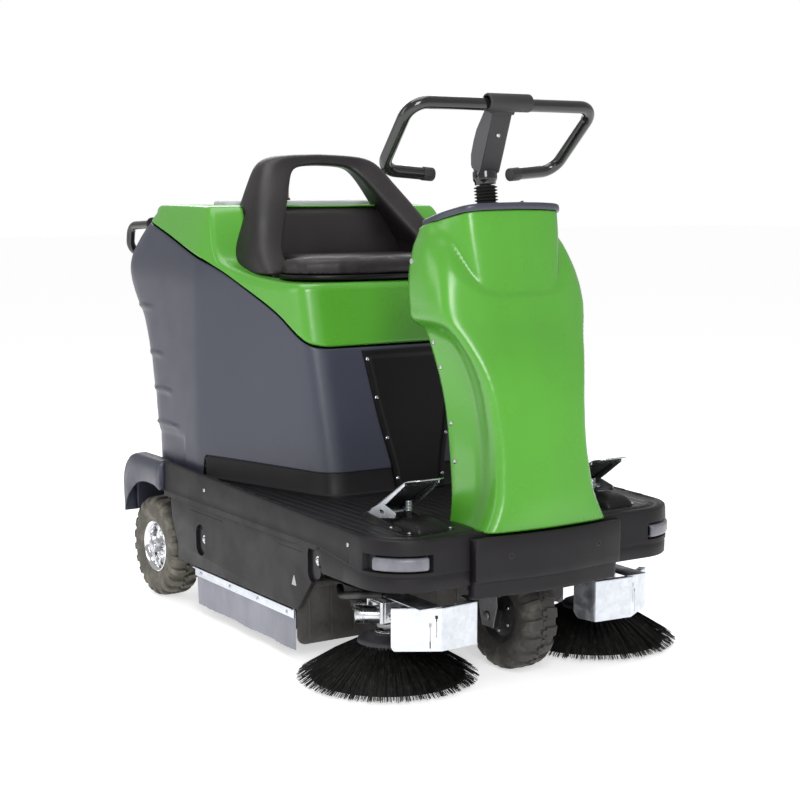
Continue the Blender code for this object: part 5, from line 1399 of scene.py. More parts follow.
def side_skirts():
    outline = rounded_outline(mm(3, 262, 125, 30, 872, 125, 4, 872, 165, 20, 903, 222, 30, 914, 284.5, 2, 138, 284.5,
        3, 146, 262, 10))
    for side, name in SIDES:
        panel = prism_form(outline, 0.38, 0.392, 0.0035, 3)
        cutters = []
        for y, z, radius, tall in ((0.742, 0.196, 0.0245, 0.014), (0.19, 0.243, 0.024, 0.018)):
            well = lofted([stadium(x, y, z, radius, tall, 40) for x in (0.3845, 0.4)])
            cutters.append(well)
        groove = bmesh.new()
        for start, end, z in ((0.62, 0.8, 0.2625), (0.235, 0.345, 0.2605)):
            add_box(groove, (0.3912, start, z), (0.4, end, z + 0.0016))
        cutters.append(groove)
        panel = carved(panel, *cutters)
        bolts = bmesh.new()
        for y, z in ((0.731, 0.199), (0.178, 0.252)):
            add_turned(bolts, mm(2, 0, 6.2, 4, 6, 6.2, 4.5, 6.6, 2.2, 10.5, 1.8, 10.8, 0), facing((0.3846, y, z),
                (0.5, y, z)), 24)
        liner = bmesh.new()
        for y, z, radius, tall in ((0.742, 0.196, 0.0165, 0.012), (0.19, 0.243, 0.0165, 0.016)):
            add_loft(liner, [stadium(x, y - 0.006, z, radius, tall, 32) for x in (0.3846, 0.3862)])
        sticker = bmesh.new()
        mark = rounded_outline(mm(3, 264.5, 179.5, 1.5, 285.5, 179.5, 1.5, 275, 204.5, 1.5), 3)
        add_loft(sticker, slab(mark, (0.392, 0.3926)))
        rivets = bmesh.new()
        strip = bmesh.new()
        add_box(strip, (0.38, 0.2945, 0.0975), (0.3832, 0.793, 0.119), 0.0008, 2)
        add_box(strip, (0.38, 0.2945, 0.1175), (0.3905, 0.793, 0.1212), 0.0014, 3)
        for y in (0.325, 0.465, 0.605, 0.762):
            add_screw(rivets, (0.3832, y, 0.1075), (1, 0, 0), 0.0045, 0.002)
        flap = flap_form()
        if side < 0:
            panel, bolts, liner, sticker, rivets, strip, flap = (mirror_copy(form) for form in (panel, bolts, liner,
                sticker, rivets, strip, flap))
        piece("skirt_" + name, panel, "black", replaces="side_skirt_" + name, sharp=38)
        piece("skirt_bolts_" + name, bolts, "steel")
        piece("skirt_wells_" + name, liner, "panel", round_off=0.001)
        if side < 0:
            piece("skirt_sticker_" + name, sticker, "sticker")
        else:
            sticker.free()
        piece("strip_" + name, strip, "zinc", replaces="flap_strip_" + name)
        piece("strip_rivets_" + name, rivets, "steel")
        piece("flap_" + name, flap, "flap", replaces="dust_flap_" + name, sharp=50)


def flap_form():
    """A hanging rubber sheet that bows a little and is nicked and worn along its lower edge."""
    draw = random.Random(7)
    wear = [draw.uniform(-0.0012, 0.0012) for _ in range(81)]

    def place(across, up):
        y = between(0.291, 0.79, across)
        height = between(0.028 + wear[round(across * 80)], 0.117, up)
        slack = (1 - up) ** 1.5
        bow = 0.0022 * sin(across * 17) * slack + 0.0012 * sin(across * 5 + 1) * slack
        return Vector((0.3792 + bow - 0.001 * slack, y, height))

    bm = formed_sheet(80, 14, place)
    bmesh.ops.solidify(bm, geom=bm.faces[:], thickness=0.0026)
    return bm


def mudguards():
    top = 0.366
    profile = [(0.934, 0.292), (0.934, top - 0.004), (0.94, top)]
    for step in range(13):
        angle = radians(90 - 90 * step / 12)
        profile.append((1.087 + 0.076 * cos(angle), top - 0.076 + 0.076 * sin(angle)))
    profile += mm(2, 1162, 262, 1158, 232, 1153, 205)
    arch = mm(2, 934, 291.5, 972, 298.5, 1015, 300.5, 1050, 296.5, 1080, 288, 1106, 273, 1128, 253, 1142, 232, 1150,
        206)

    rows = mm(2, 0, 408, 50, 411.5, 500, 412, 900, 410.5, 965, 406, 992, 398.5, 1000, 389, 1000, 375.5)

    def place(across, up):
        share, x = rows[round(up * (len(rows) - 1))]
        outer = spaced(profile, across)
        inner = spaced(arch, across)
        point = inner.lerp(outer, share)
        return Vector((x, point.x, point.y))

    for side, name in SIDES:
        bm = formed_sheet(64, len(rows) - 1, place)
        bm = on_side(bm, side)
        piece("mudguard_skin_" + name, bm, "slate", sharp=50, wall=0.004, inside=(side * 0.36, 1.03, 0.25))
        rear = bmesh.new()
        add_box(rear, (0.283, 1.15, 0.205), (0.3765, 1.163, 0.33), 0.004, 3)
        rear = on_side(rear, side)
        piece("mudguard_rear_" + name, rear, "slate", replaces="mudguard_" + name)



# ---- wheels

REAR_WHEEL = Vector((0.3525, 1.02, 0.13))
FRONT_WHEEL = Vector((0, 0, 0.125))


def axle_frame(centre, side=1):
    """A frame whose Z runs outwards along the axle."""
    return Matrix.Translation(centre) @ Matrix.Rotation(radians(90 * side), 4, "Y")


def lugs_round(profile, depth, count, first, share, lean=0):
    """Blocks of tread: one is lofted along (radius, offset) rows and spun round the axle."""
    bm = bmesh.new()
    pitch = 2 * pi / count
    rings = []
    for index, (radius, offset) in enumerate(profile):
        swing = first + lean * index / (len(profile) - 1) * pitch
        wide = pitch * share / 2
        ring = []
        for angle, level in ((-wide, radius - depth), (-wide * 0.78, radius), (wide * 0.78, radius), (wide,
                radius - depth)):
            ring.append(round_point(level, swing + angle, offset))
        rings.append(ring)
    add_loft(bm, rings)
    bmesh.ops.spin(bm, geom=everything(bm), cent=(0, 0, 0), axis=(0, 0, 1), dvec=(0, 0, 0), angle=2 * pi - pitch,
        steps=count - 1, use_duplicate=True)
    return bm


def wheel_piece(name, bm, frame_at, look, body, replaces="", slot=None, sharp=35):
    put(bm, frame_at)
    piece(name, bm, look, body, replaces, slot, sharp, weld=1e-6)


def rear_wheels(lug_count):
    tyre = mm(2, 62.5, -31, 66, -34.5, 70, -35.2, 74.5, -37.2, 76.5, -38.5, 78.5, -37.8, 85, -39.8, 96, -41.2, 105,
        -40.5, 112, -38.5, 116, -35, 119.8, -28, 121.5, -18, 122.2, -6)
    tyre = tyre + [(radius, -offset) for radius, offset in reversed(tyre)]
    shoulder = mm(2, 129.2, 4.5, 129.4, 12, 129, 22, 127.2, 30, 123.5, 36.2, 118, 40, 112, 41.2, 107.5, 40.8)
    for side, name in SIDES:
        place = axle_frame(Vector((REAR_WHEEL.x * side, REAR_WHEEL.y, REAR_WHEEL.z)), side)
        bm = turned(tyre, Matrix(), 96, closed=True)
        body = "rear_wheel_" + name
        wheel_piece("tyre_carcass_" + name, bm, place, "tyre_rear", body, "rear_tyre_" + name, sharp=60)
        treads = lugs_round(shoulder, 0.0095, lug_count, 0, 0.56, 0.18)
        other = lugs_round([(r, -z) for r, z in shoulder], 0.0095, lug_count, pi / lug_count, 0.56, 0.18)
        join_into(treads, other)
        middle = lugs_round(mm(2, 129.2, -3, 129.6, 0, 129.2, 3), 0.005, lug_count * 2, 0, 0.52, 0)
        join_into(treads, middle)
        wheel_piece("tyre_lugs_" + name, treads, place, "tyre_rear", body, sharp=40)

        rim = turned(mm(2, 56, -30, 64, -33, 65.5, -31, 62.5, -28, 58.5, -24, 57.5, 10, 58.5, 20, 61, 28.5, 65, 32.5,
            66, 35, 64, 36.2, 60.5, 34, 57, 29, 54.5, 20, 53.5, 10, 53.5, -20), Matrix(), 96, closed=True)
        add_turned(rim, mm(2, 0, 30, 9.5, 30, 11, 28.5, 11.2, 21.5, 17, 20, 22.5, 18, 24, 15, 24, 8, 0, 8), Matrix(),
            64)
        spoke = bmesh.new()
        rings = []
        for radius, height, half, thick in mm(4, 21.5, 15, 11.5, 5, 30, 18.5, 8, 5, 40, 16.5, 7.5, 5, 48, 11, 8.5, 5,
                55, 6, 13, 5):
            rings.append([Vector((radius, -half, height - thick)), Vector((radius, -half * 0.7, height)),
                Vector((radius, half * 0.7, height)), Vector((radius, half, height - thick))])
        add_loft(spoke, rings)
        count = 8
        bmesh.ops.spin(spoke, geom=everything(spoke), cent=(0, 0, 0), axis=(0, 0, 1), dvec=(0, 0, 0),
            angle=2 * pi * (count - 1) / count, steps=count - 1, use_duplicate=True)
        join_into(rim, spoke)
        wheel_piece("rim_" + name, rim, place, "chrome", body, "rear_rim_" + name, sharp=38)
        inner = turned(mm(2, 0, 4, 30, 3, 53, -4, 53, -12, 0, -12), Matrix(), 64)
        wheel_piece("rim_drum_" + name, inner, place, "dull_steel", body, slot="black_steel", sharp=40)
        bolts = bmesh.new()
        for step in range(4):
            angle = pi / 4 + pi / 2 * step
            spot = round_point(0.0185, angle, 0.0188)
            add_turned(bolts, mm(2, 0, 4.2, 3, 4.2, 3.6, 3.6, 3.6, 0), Matrix.Translation(spot), 6)
        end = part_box("rear_axle")[1].x - REAR_WHEEL.x + 0.0012
        add_turned(bolts, [(0, end), (0.01, end - 0.0004), (0.015, end - 0.003), (0.0163, end - 0.007), (0.0165,
            0.018), (0, 0.018)], Matrix(), 40)
        wheel_piece("rim_bolts_" + name, bolts, place, "steel", body, sharp=30)


def front_wheel():
    place = axle_frame(FRONT_WHEEL)
    tyre = mm(2, 61.5, -32, 65, -36.5, 70, -37.2, 73, -39.2, 75.5, -39, 85, -42.8, 95, -43.6, 104, -42, 111, -38, 116,
        -31, 118.5, -20, 119.5, -6)
    tyre = tyre + [(radius, -offset) for radius, offset in reversed(tyre)]
    bm = turned(tyre, Matrix(), 96, closed=True)
    wheel_piece("front_carcass", bm, place, "tyre_front", "front_wheel", "front_tyre", sharp=60)
    shoulder = mm(2, 124, 6, 124.2, 15, 123.6, 24, 121, 33, 116, 39.5, 110, 43.2, 103, 44.4)
    treads = lugs_round(shoulder, 0.007, 18, 0, 0.62, 0.12)
    join_into(treads, lugs_round([(r, -z) for r, z in shoulder], 0.007, 18, pi / 18, 0.62, 0.12))
    join_into(treads, lugs_round(mm(2, 124, -5, 124.6, 0, 124, 5), 0.0055, 36, 0, 0.6))
    wheel_piece("front_lugs", treads, place, "tyre_front", "front_wheel", sharp=40)
    hub = bmesh.new()
    for side in (-1, 1):
        add_turned(hub, [(0, side * 0.0405), (0.014, side * 0.0405), (0.0155, side * 0.039), (0.016, side * 0.033),
            (0.03, side * 0.0315), (0.044, side * 0.029), (0.05, side * 0.027), (0.0545, side * 0.03), (0.059,
            side * 0.0335), (0.0625, side * 0.0345), (0.0635, side * 0.033), (0.061, side * 0.028), (0.06, 0)],
            Matrix(), 80)
    wheel_piece("front_hub", hub, place, "paint", "front_wheel", "front_rim", sharp=36)
    bolts = bmesh.new()
    for side in (-1, 1):
        for step in range(6):
            angle = 2 * pi * step / 6
            spot = round_point(0.038, angle, side * 0.0296)
            turn = Matrix.Rotation(0 if side > 0 else pi, 4, "X")
            add_turned(bolts, mm(2, 0, 5, 3.6, 5, 4.4, 4.2, 4.4, -1), Matrix.Translation(spot) @ turn, 6)
    wheel_piece("front_hub_bolts", bolts, place, "steel", "front_wheel", sharp=30)
    dress("front_fork", "paint")
    plates = bmesh.new()
    for side in (-1, 1):
        x = side * 0.0608
        ring = mm(2, -20, 100, 20, 100, 34, 150, 30, 212, -30, 212, -34, 150)
        add_loft(plates, [[Vector((x + side * out, y, z)) for y, z in ring] for out in (0, 0.003)])
        add_turned(plates, mm(2, 0, 10, 6, 10, 9.5, 8, 9.5, 3.5, 15, 3, 15, 0), facing((x, 0, 0.125), (x + side, 0,
            0.125)), 24)
        for y in (-0.018, 0.018):
            add_screw(plates, (x + side * 0.003, y, 0.192), (side, 0, 0), 0.0055, 0.004)
    piece("fork_plates", plates, "dull_steel", "steering", round_off=0.0006)


def dress(node, look):
    """Gives a carried-over node one of the finishes."""
    mesh = NODES[node].data
    mesh.materials.clear()
    mesh.materials.append(LOOKS[look])


# ---- side brushes

BRUSH_AT = Vector((0.28, 0.065, 0))
GUARD_LOW = 0.099
GUARD_TOP = 0.1926


def tuft_mesh(draw, start, bend, end, strands, spread):
    """A small bunch of tapering bristles from the disc out to the floor, along +X."""
    bm = bmesh.new()
    for _ in range(strands):
        fan = draw.gauss(0, spread)
        shift = Vector((draw.uniform(-0.002, 0.002), draw.uniform(-0.0022, 0.0022), draw.uniform(-0.001, 0.001)))
        stretch = draw.uniform(0.955, 1)
        radius = draw.uniform(0.0007, 0.0011)
        rings = []
        for index, (reach_out, height) in enumerate((start, bend, end)):
            out = between(start[0], reach_out, stretch)
            level = max(0.0022, height + draw.uniform(0, 0.004) * (index == 2))
            centre = Vector((out * cos(fan * index / 2), out * sin(fan * index / 2), level)) + shift
            centre.z = max(centre.z, 0.0022)
            size = radius * (1, 1, 0.65)[index]
            rings.append([centre + Vector((0, cos(turn) * size, sin(turn) * size)) for turn in (0.3, 0.3 + 2 * pi / 3,
                0.3 + 4 * pi / 3)])
        add_loft(bm, rings)
    mesh = bpy.data.meshes.new("tuft")
    bm.to_mesh(mesh)
    bm.free()
    return mesh


def side_brushes(tuft_count):
    rows = (((0.0655, 0.087), (0.128, 0.056), (0.1985, 0.01), 0.044), ((0.06, 0.085), (0.118, 0.05), (0.188, 0.006),
        0.05), ((0.052, 0.082), (0.104, 0.042), (0.172, 0.004), 0.056))
    draw = random.Random(21)
    bunches = [[tuft_mesh(draw, start, bend, end, 7, spread) for _ in range(4)] for start, bend, end, spread in rows]
    for side, name in SIDES:
        centre = Vector((BRUSH_AT.x * side, BRUSH_AT.y, 0))
        body = "side_brush_" + name
        bristles = bmesh.new()
        for ring, choices in enumerate(bunches):
            for step in range(tuft_count):
                before = len(bristles.verts)
                bristles.from_mesh(choices[draw.randrange(len(choices))])
                bristles.verts.ensure_lookup_table()
                angle = 2 * pi * (step + ring / 3 + draw.uniform(-0.12, 0.12)) / tuft_count
                turn = Matrix.Translation(centre) @ Matrix.Rotation(angle, 4, "Z")
                bmesh.ops.transform(bristles, matrix=turn, verts=bristles.verts[before:])
        piece("bristles_" + name, bristles, "bristle", body, body, sharp=80, weld=1e-7)
        root = turned(mm(2, 30, 78, 63.5, 84.5, 110, 56, 150, 30, 168, 13, 160, 12, 120, 30, 70, 56, 30, 64),
            Matrix.Translation(centre), 72, closed=True)
        piece("bristle_mass_" + name, root, "bristle", body, sharp=60)
        disc = turned(mm(2, 14.2, 88, 14.2, 108, 29, 108, 30.5, 106.5, 32, 103.5, 45, 101.5, 56, 98.5, 62.5, 95.8,
            65.5, 92.5, 66.8, 87, 66.5, 81.5, 63, 80, 50, 81.5, 30, 84), Matrix.Translation(centre), 96, closed=True)
        piece("brush_disc_" + name, disc, "disc", body, sharp=32)
        clip = bmesh.new()
        for radius, height in ((0.0275, 0.1088), (0.0215, 0.11)):
            path = [centre + round_point(radius, a, height) for a in [2 * pi * step / 40 for step in range(36)]]
            add_tube(clip, path, 0.0014, 8)
        piece("brush_clip_" + name, clip, "steel", body, sharp=60)


def brush_motors():
    for side, name in SIDES:
        body = "brush_arm_" + name
        x, y = BRUSH_AT.x, BRUSH_AT.y
        gear = bmesh.new()
        add_box(gear, (x - 0.03, y - 0.034, 0.13), (x + 0.03, y + 0.034, 0.1825), 0.006, 3)
        for dx, dy in mm(2, -30, -26, 30, -26, -30, 26, 30, 26):
            add_rod(gear, (x + dx, y + dy, 0.134), (x + dx, y + dy, 0.18), 0.0062, 16)
        for level in (0.138, 0.15, 0.162, 0.174):
            add_box(gear, (x - 0.033, y - 0.02, level - 0.0016), (x + 0.033, y + 0.02, level + 0.0016), 0.001, 1)
        gear = on_side(gear, side)
        piece("gearbox_" + name, gear, "steel", body, "brush_motor_" + name, round_off=0.0006)
        can = bmesh.new()
        start, end = Vector((x + 0.072, y + 0.02, 0.15)), Vector((x - 0.022, y - 0.036, 0.148))
        add_turned(can, mm(2, 0, 0, 14, 0, 16.5, 1.5, 18.8, 2, 19.6, 4, 19.6, 17, 19, 17.6, 19, 19.6, 19.6, 20.2,
            19.6, 75, 18.8, 78, 18.8, 109, 0, 109), facing(start, end), 56)
        add_turned(can, mm(2, 0, 0, 23, 0, 26.2, 2, 27, 5, 27, 80, 25, 84, 0, 84), facing((x, y + 0.03, 0.15), (x,
            y + 0.2, 0.15)), 56)
        can = on_side(can, side)
        piece("motor_can_" + name, can, "steel", body, sharp=32)
        neck = turned(mm(2, 0, 110, 11, 110, 11.5, 118, 23.5, 118.4, 24, 120, 24, 131, 0, 131),
            Matrix.Translation((x * side, y, 0)), 48)
        piece("motor_neck_" + name, neck, "dull_steel", body, sharp=32)
        bolts = bmesh.new()
        for dx, dy in mm(2, -24, -24, 24, -24, 24, 24, -24, 24):
            add_turned(bolts, mm(2, 0, 5.2, 4.2, 5.2, 5, 4.4, 5, 0), Matrix.Translation(((x + dx) * side, y + dy,
                0.1895)), 6)
        for dz in (-0.014, 0.014):
            add_turned(bolts, mm(2, 0, 4.6, 3.4, 4.6, 4.2, 3.8, 4.2, 0), facing(((x + 0.03) * side, y - 0.012,
                0.15 + dz), ((x + 1) * side, y - 0.012, 0.15 + dz)), 6)
        piece("motor_bolts_" + name, bolts, "zinc", body, sharp=30)


def brush_arms_and_guards():
    for side, name in SIDES:
        body = "brush_arm_" + name
        x = BRUSH_AT.x
        arm = bmesh.new()
        outline = rounded_outline(((x - 0.035, 0.022, 0.008), (x + 0.035, 0.022, 0.008), (x + 0.035, 0.1, 0.02),
            (x + 0.024, 0.16, 0.02), (x + 0.024, 0.22, 0.01), (x + 0.033, 0.282, 0.003), (x - 0.033, 0.282, 0.003),
            (x - 0.024, 0.22, 0.01), (x - 0.024, 0.16, 0.02), (x - 0.035, 0.1, 0.02)), 4)
        add_loft(arm, storey(outline, (0.1835, 0.1893)))
        add_rod(arm, (x - 0.035, 0.3, 0.2), (x + 0.035, 0.3, 0.2), 0.014, 32)
        for edge in (-1, 1):
            ring = mm(2, 110, 189, 286, 189, 286, 204, 220, 199.5, 150, 196)
            at = x + edge * 0.0215
            add_loft(arm, slab(ring, (at - 0.0015, at + 0.0015)))
        arm = on_side(arm, side)
        piece("arm_" + name, arm, "paint", body, "brush_arm_" + name, slot="plated_steel", round_off=0.0008)
        stay = bmesh.new()
        path = bent_path([(x + 0.03, 0.04, 0.196), (x + 0.062, 0.07, 0.194, 0.02), (x + 0.066, 0.15, 0.176, 0.05),
            (x + 0.03, 0.215, 0.176)], 6)
        add_tube(stay, path, 0.0085, 16)
        stay = on_side(stay, side)
        piece("brush_stay_" + name, stay, "paint", body, sharp=50)

        plan = rounded_outline(mm(3, 146, -38, 0, 160, -98, 4, 256, -105.5, 4, 346, -50, 0), 4)

        def along(share):
            return spaced(plan, share)

        def place(across, up):
            point = along(across)
            low = GUARD_LOW + 0.014 * max(0, 1 - across / 0.06) ** 2 + 0.01 * max(0, (across - 0.97) / 0.03) ** 2
            return Vector((point.x, point.y, between(low, GUARD_TOP - 0.0032, up)))

        sheet = formed_sheet(90, 16, place)
        guard = carved_sheet(sheet, 0.0024, plan_slots(along))
        guard = on_side(guard, side)
        piece("guard_" + name, guard, "zinc", body, "brush_guard_" + name, sharp=40, round_off=0.0005)
        flange = bmesh.new()
        top = [along(step / 40) for step in range(41)]
        inner = []
        for index, point in enumerate(top):
            run = top[min(index + 1, 40)] - top[max(index - 1, 0)]
            inward = Vector((-run.y, run.x)).normalized()
            inner.append(point + inward * 0.0155)
        ring = [Vector((p.x, p.y)) for p in top] + list(reversed(inner))
        add_loft(flange, storey(ring, (GUARD_TOP - 0.0048, GUARD_TOP - 0.0024)))
        add_box(flange, (x - 0.03, -0.098, GUARD_TOP - 0.0028), (x + 0.026, 0.062, GUARD_TOP - 0.0004), 0.0008, 2)
        flange = on_side(flange, side)
        piece("guard_flange_" + name, flange, "zinc", body, sharp=40, round_off=0.0004)
        screws = bmesh.new()
        for share in (0.14, 0.44, 0.93):
            spot = along(share)
            run = along(min(1, share + 0.02)) - along(share - 0.02)
            inward = Vector((-run.y, run.x)).normalized()
            spot = spot + inward * 0.0085
            add_screw(screws, (spot.x * side, spot.y, GUARD_TOP - 0.0006), (0, 0, 1), 0.0032, 0.0016)
        piece("guard_screws_" + name, screws, "dull_steel", body)


def plan_slots(along):
    """Two keyhole slots, as upright cutters through the guard's front."""
    cutters = []
    for share, low, high in ((0.64, 0.129, 0.172), (0.69, 0.105, 0.156)):
        spot = along(share)
        run = (along(share + 0.02) - along(share - 0.02)).normalized()
        out = Vector((run.y, -run.x))
        for width, bottom, top in ((0.0011, low, high), (0.003, high - 0.004, high + 0.003)):
            first, second = spot + run * width * -1, spot + run * width
            ring = [first - out * 0.01, first + out * 0.01, second + out * 0.01, second - out * 0.01]
            cutter = lofted(storey(ring, (bottom, top)))
            cutters.append(cutter)
    return cutters


def carved_sheet(sheet, wall, cutters):
    """Gives a sheet its thickness, then cuts the openings through it."""
    bmesh.ops.remove_doubles(sheet, verts=sheet.verts, dist=1e-5)
    bmesh.ops.recalc_face_normals(sheet, faces=sheet.faces)
    bmesh.ops.solidify(sheet, geom=sheet.faces[:], thickness=wall)
    return carved(sheet, *cutters)


# ---- pedals

PEDAL_PIVOT = Vector((0.25, 0.125, 0.352))
PEDAL_ANGLE = radians(31)
PEDAL_LENGTH = 0.205
PEDAL_HALF = 0.045


def pedals():
    for side, name, body in ((-1, "right", "drive_pedal"), (1, "left", "brake_pedal")):
        place = Matrix.Translation((PEDAL_PIVOT.x * side, PEDAL_PIVOT.y,
            PEDAL_PIVOT.z)) @ Matrix.Rotation(-PEDAL_ANGLE, 4, "X")

        def tread(across, up):
            run = between(-0.004, -PEDAL_LENGTH + 0.001, up)
            half = PEDAL_HALF
            if up > 0.9:
                half -= 0.02 * ((up - 0.9) / 0.1) ** 2
            bend = 0.004 if up < 0.84 else 0.004 - 0.01 * ((up - 0.84) / 0.16) ** 1.5
            grip = 0
            if 0.3 < up < 0.95 and 0.08 < across < 0.92:
                grip = 0.0007 * max(0, sin(up * 95)) * max(0, sin(across * 40))
            return Vector((between(-half, half, across), run, bend + grip))

        plate = formed_sheet(72, 120, tread)
        put(plate, place)
        up_way = place.to_3x3() @ Vector((0, 0, 1))
        piece("pedal_plate_" + name, plate, "steel", body, body, sharp=50, wall=0.0022,
            inside=place.translation - up_way * 0.5)
        skirt = bmesh.new()
        for edge in (-1, 1):
            outer = edge * (PEDAL_HALF - 0.0003)
            ring = mm(2, 3, -4, 3, 3.5, -90, 3.5, -172, 3.5, -168, -3, -90, -8)
            add_loft(skirt, [[Vector((outer - edge * off, y, z)) for y, z in ring] for off in (0, 0.0022)])
        put(skirt, place)
        piece("pedal_edges_" + name, skirt, "zinc", body, round_off=0.0005)
        # A thin dark sheet just under the plate is painted shade: it stands in for the shade on the plate's underside
        # and the dark deck reflected there. The two rails below it are in the same piece.
        under = bmesh.new()
        add_box(under, (-0.0405, -0.158, 0.0002), (0.0405, -0.012, 0.0014), 0.0008, 2)
        for start in (-0.036, 0.03):
            add_box(under, (start, -0.15, -0.004), (start + 0.006, -0.02, 0.001), 0.001, 2)
        put(under, place)
        piece("pedal_painted_shade_and_rails_" + name, under, "paint", body)
        link = bmesh.new()
        outer = -0.0458 if side < 0 else 0.0458
        ring = rounded_outline(mm(3, 6, -4, 3, -28, 5, 4, -74, -2, 4, -112, -40, 4, -104, -48, 3), 4)
        add_loft(link, slab(ring, (outer - 0.0011, outer + 0.0011)))
        eye = bmesh.new()
        oval = []
        for step in range(20):
            angle = 2 * pi * step / 20
            run, rise = 0.0095 * cos(angle), 0.0045 * sin(angle)
            oval.append((-0.062 + run * 0.82 - rise * 0.57, -0.017 + run * 0.57 + rise * 0.82))
        add_loft(eye, slab(oval, (outer - 0.01, outer + 0.01)))
        link = carved(link, eye)
        put(link, place)
        piece("pedal_link_" + name, link, "zinc", body, round_off=0.0004)
        pins = bmesh.new()
        for edge in (-1, 1):
            add_turned(pins, mm(2, 0, 4, 3, 3.8, 5.8, 2.2, 6.2, 0),
                facing(place @ Vector((edge * (PEDAL_HALF + 0.0008), 0, 0)), place @ Vector((edge, 0, 0))), 24)
        add_rod(pins, place @ Vector((-PEDAL_HALF, 0, 0)), place @ Vector((PEDAL_HALF, 0, 0)), 0.0072, 24)
        piece("pedal_pins_" + name, pins, "zinc", body)

        x = PEDAL_PIVOT.x * side
        spring = bmesh.new()
        path = []
        for step in range(121):
            share = step / 120
            angle = share * 2 * pi * 7
            path.append(Vector((x + 0.0068 * cos(angle), 0.03 + 0.0068 * sin(angle), between(0.3715, 0.3945, share))))
        add_tube(spring, path, 0.0011, 8)
        piece("pedal_spring_" + name, spring, "zinc", sharp=60)

        hump = bmesh.new()
        centre_x = x + side * 0.004
        rings = []
        for y, half, height in mm(3, -68, 30, 4, -64, 36, 14, -52, 40, 23, -30, 41, 27.5, 0, 41, 27.5, 22, 40, 23, 36,
                37, 13, 40, 31, 4):
            ring = []
            for step in range(17):
                angle = pi * step / 16
                across = copysign(abs(cos(angle)) ** 0.6, cos(angle))
                ring.append(Vector((centre_x + half * across, y, 0.3405 + height * sin(angle) ** 0.7)))
            rings.append(ring)
        add_loft(hump, rings)
        piece("pedal_cover_" + name, hump, "black", sharp=50)
        screws = bmesh.new()
        for dx, y in mm(2, -47, 20, 49, 20, -47, -50, 49, -50):
            add_screw(screws, (x + dx * 1.06, y, 0.3432), (0, 0, 1), 0.0048, 0.0026)
        piece("pedal_screws_" + name, screws, "steel")
        dress(body + "_bracket", "paint")


# ---- main brush, hopper and works

def main_brush():
    draw = random.Random(5)
    centre = Vector((0, 0.55, 0.144))
    half = 0.272
    bm = bmesh.new()
    rows = 22
    for row in range(rows):
        first = 2 * pi * row / rows
        ends = [draw.uniform(0.132, 0.1405) for _ in range(61)]

        def place(across, up):
            x = between(-half, half, across)
            angle = first + 0.55 * abs(across * 2 - 1)
            radius = between(0.05, ends[round(across * 60)], up)
            lean = 0.02 * up * sin(across * 80 + row)
            return centre + Vector((x, radius * cos(angle + lean), radius * sin(angle + lean)))

        strip = formed_sheet(60, 4, place)
        bmesh.ops.solidify(strip, geom=strip.faces[:], thickness=0.005)
        join_into(bm, strip)
    piece("sweeping_bristles", bm, "bristle", "main_brush", "main_brush_bristles", sharp=60, weld=1e-7)
    dress("main_brush_core", "paint")
    dress("main_brush_motor", "dull_steel")
    dress("brush_tunnel", "housing")
    curtain = bmesh.new()
    low_edge = rounded_outline(mm(3, -376, 180, 4, -376, 36, 20, 376, 36, 20, 376, 180, 4), 5)
    add_loft(curtain, [[Vector((x, y, z)) for x, z in low_edge] for y in (0.289, 0.2925)])
    for step in range(13):
        x = between(-0.345, 0.345, step / 12)
        add_box(curtain, (x - 0.003, 0.2868, 0.052), (x + 0.003, 0.29, 0.172), 0.0012, 2)
    add_box(curtain, (-0.362, 0.285, 0.164), (0.362, 0.296, 0.178), 0.003, 2)
    piece("front_curtain", curtain, "housing")
    hangers = bmesh.new()
    for x in (-0.352, -0.2, 0.2, 0.352):
        add_box(hangers, (x - 0.01, 0.2925, 0.15), (x + 0.01, 0.296, 0.262), 0.001, 2)
        add_screw(hangers, (x, 0.285, 0.171), (0, -1, 0), 0.005, 0.003)
    piece("curtain_hangers", hangers, "paint")


def hopper():
    dress("waste_hopper", "black")
    ribs = bmesh.new()
    low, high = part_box("waste_hopper")
    rear = high.y - AXLE_Y
    for step in range(5):
        x = between(-0.2, 0.2, step / 4)
        if abs(x) < 0.08:
            continue
        add_box(ribs, (x - 0.004, rear - 0.012, low.z + 0.03), (x + 0.004, rear - 0.0002, high.z - 0.03), 0.002, 2)
    for side in (-1, 1):
        add_screw(ribs, (side * 0.235, rear - 0.02, high.z - 0.022), (0, 1, 0), 0.006, 0.003)
    piece("hopper_ribs", ribs, "black", "hopper")


def hidden_works():
    for node, look in (("chassis_frame", "paint"), ("rear_axle", "paint"), ("steering_shaft", "paint"),
            ("battery_pack", "terminal"), ("suction_fan", "terminal"), ("dust_filter", "pleats")):
        dress(node, look)


# ---- studio

def studio_floor():
    bm = bmesh.new()
    bmesh.ops.create_grid(bm, x_segments=40, y_segments=40, size=30)
    bmesh.ops.translate(bm, vec=(0, 0, -0.0002), verts=bm.verts)
    mesh = bpy.data.meshes.new("studio_floor")
    bm.to_mesh(mesh)
    bm.free()
    look = finish("studio_floor", (0.9, 0.9, 0.91), 0.55)
    fill(look.node_tree.nodes["Principled BSDF"], Emission_Color=(1, 1, 1, 1), Emission_Strength=0.56)
    add_grain(look, 90, 2, 0.02, 0.0005)
    mesh.materials.append(look)
    floor = bpy.data.objects.new("studio_floor", mesh)
    bpy.context.scene.collection.objects.link(floor)


def soft_light(name, place, target, width, height, power):
    lamp = bpy.data.lights.new(name, "AREA")
    lamp.shape = "RECTANGLE"
    lamp.size = width
    lamp.size_y = height
    lamp.energy = power
    light = bpy.data.objects.new(name, lamp)
    light.location = place
    light.rotation_euler = (Vector(target) - Vector(place)).to_track_quat("-Z", "Y").to_euler()
    bpy.context.scene.collection.objects.link(light)


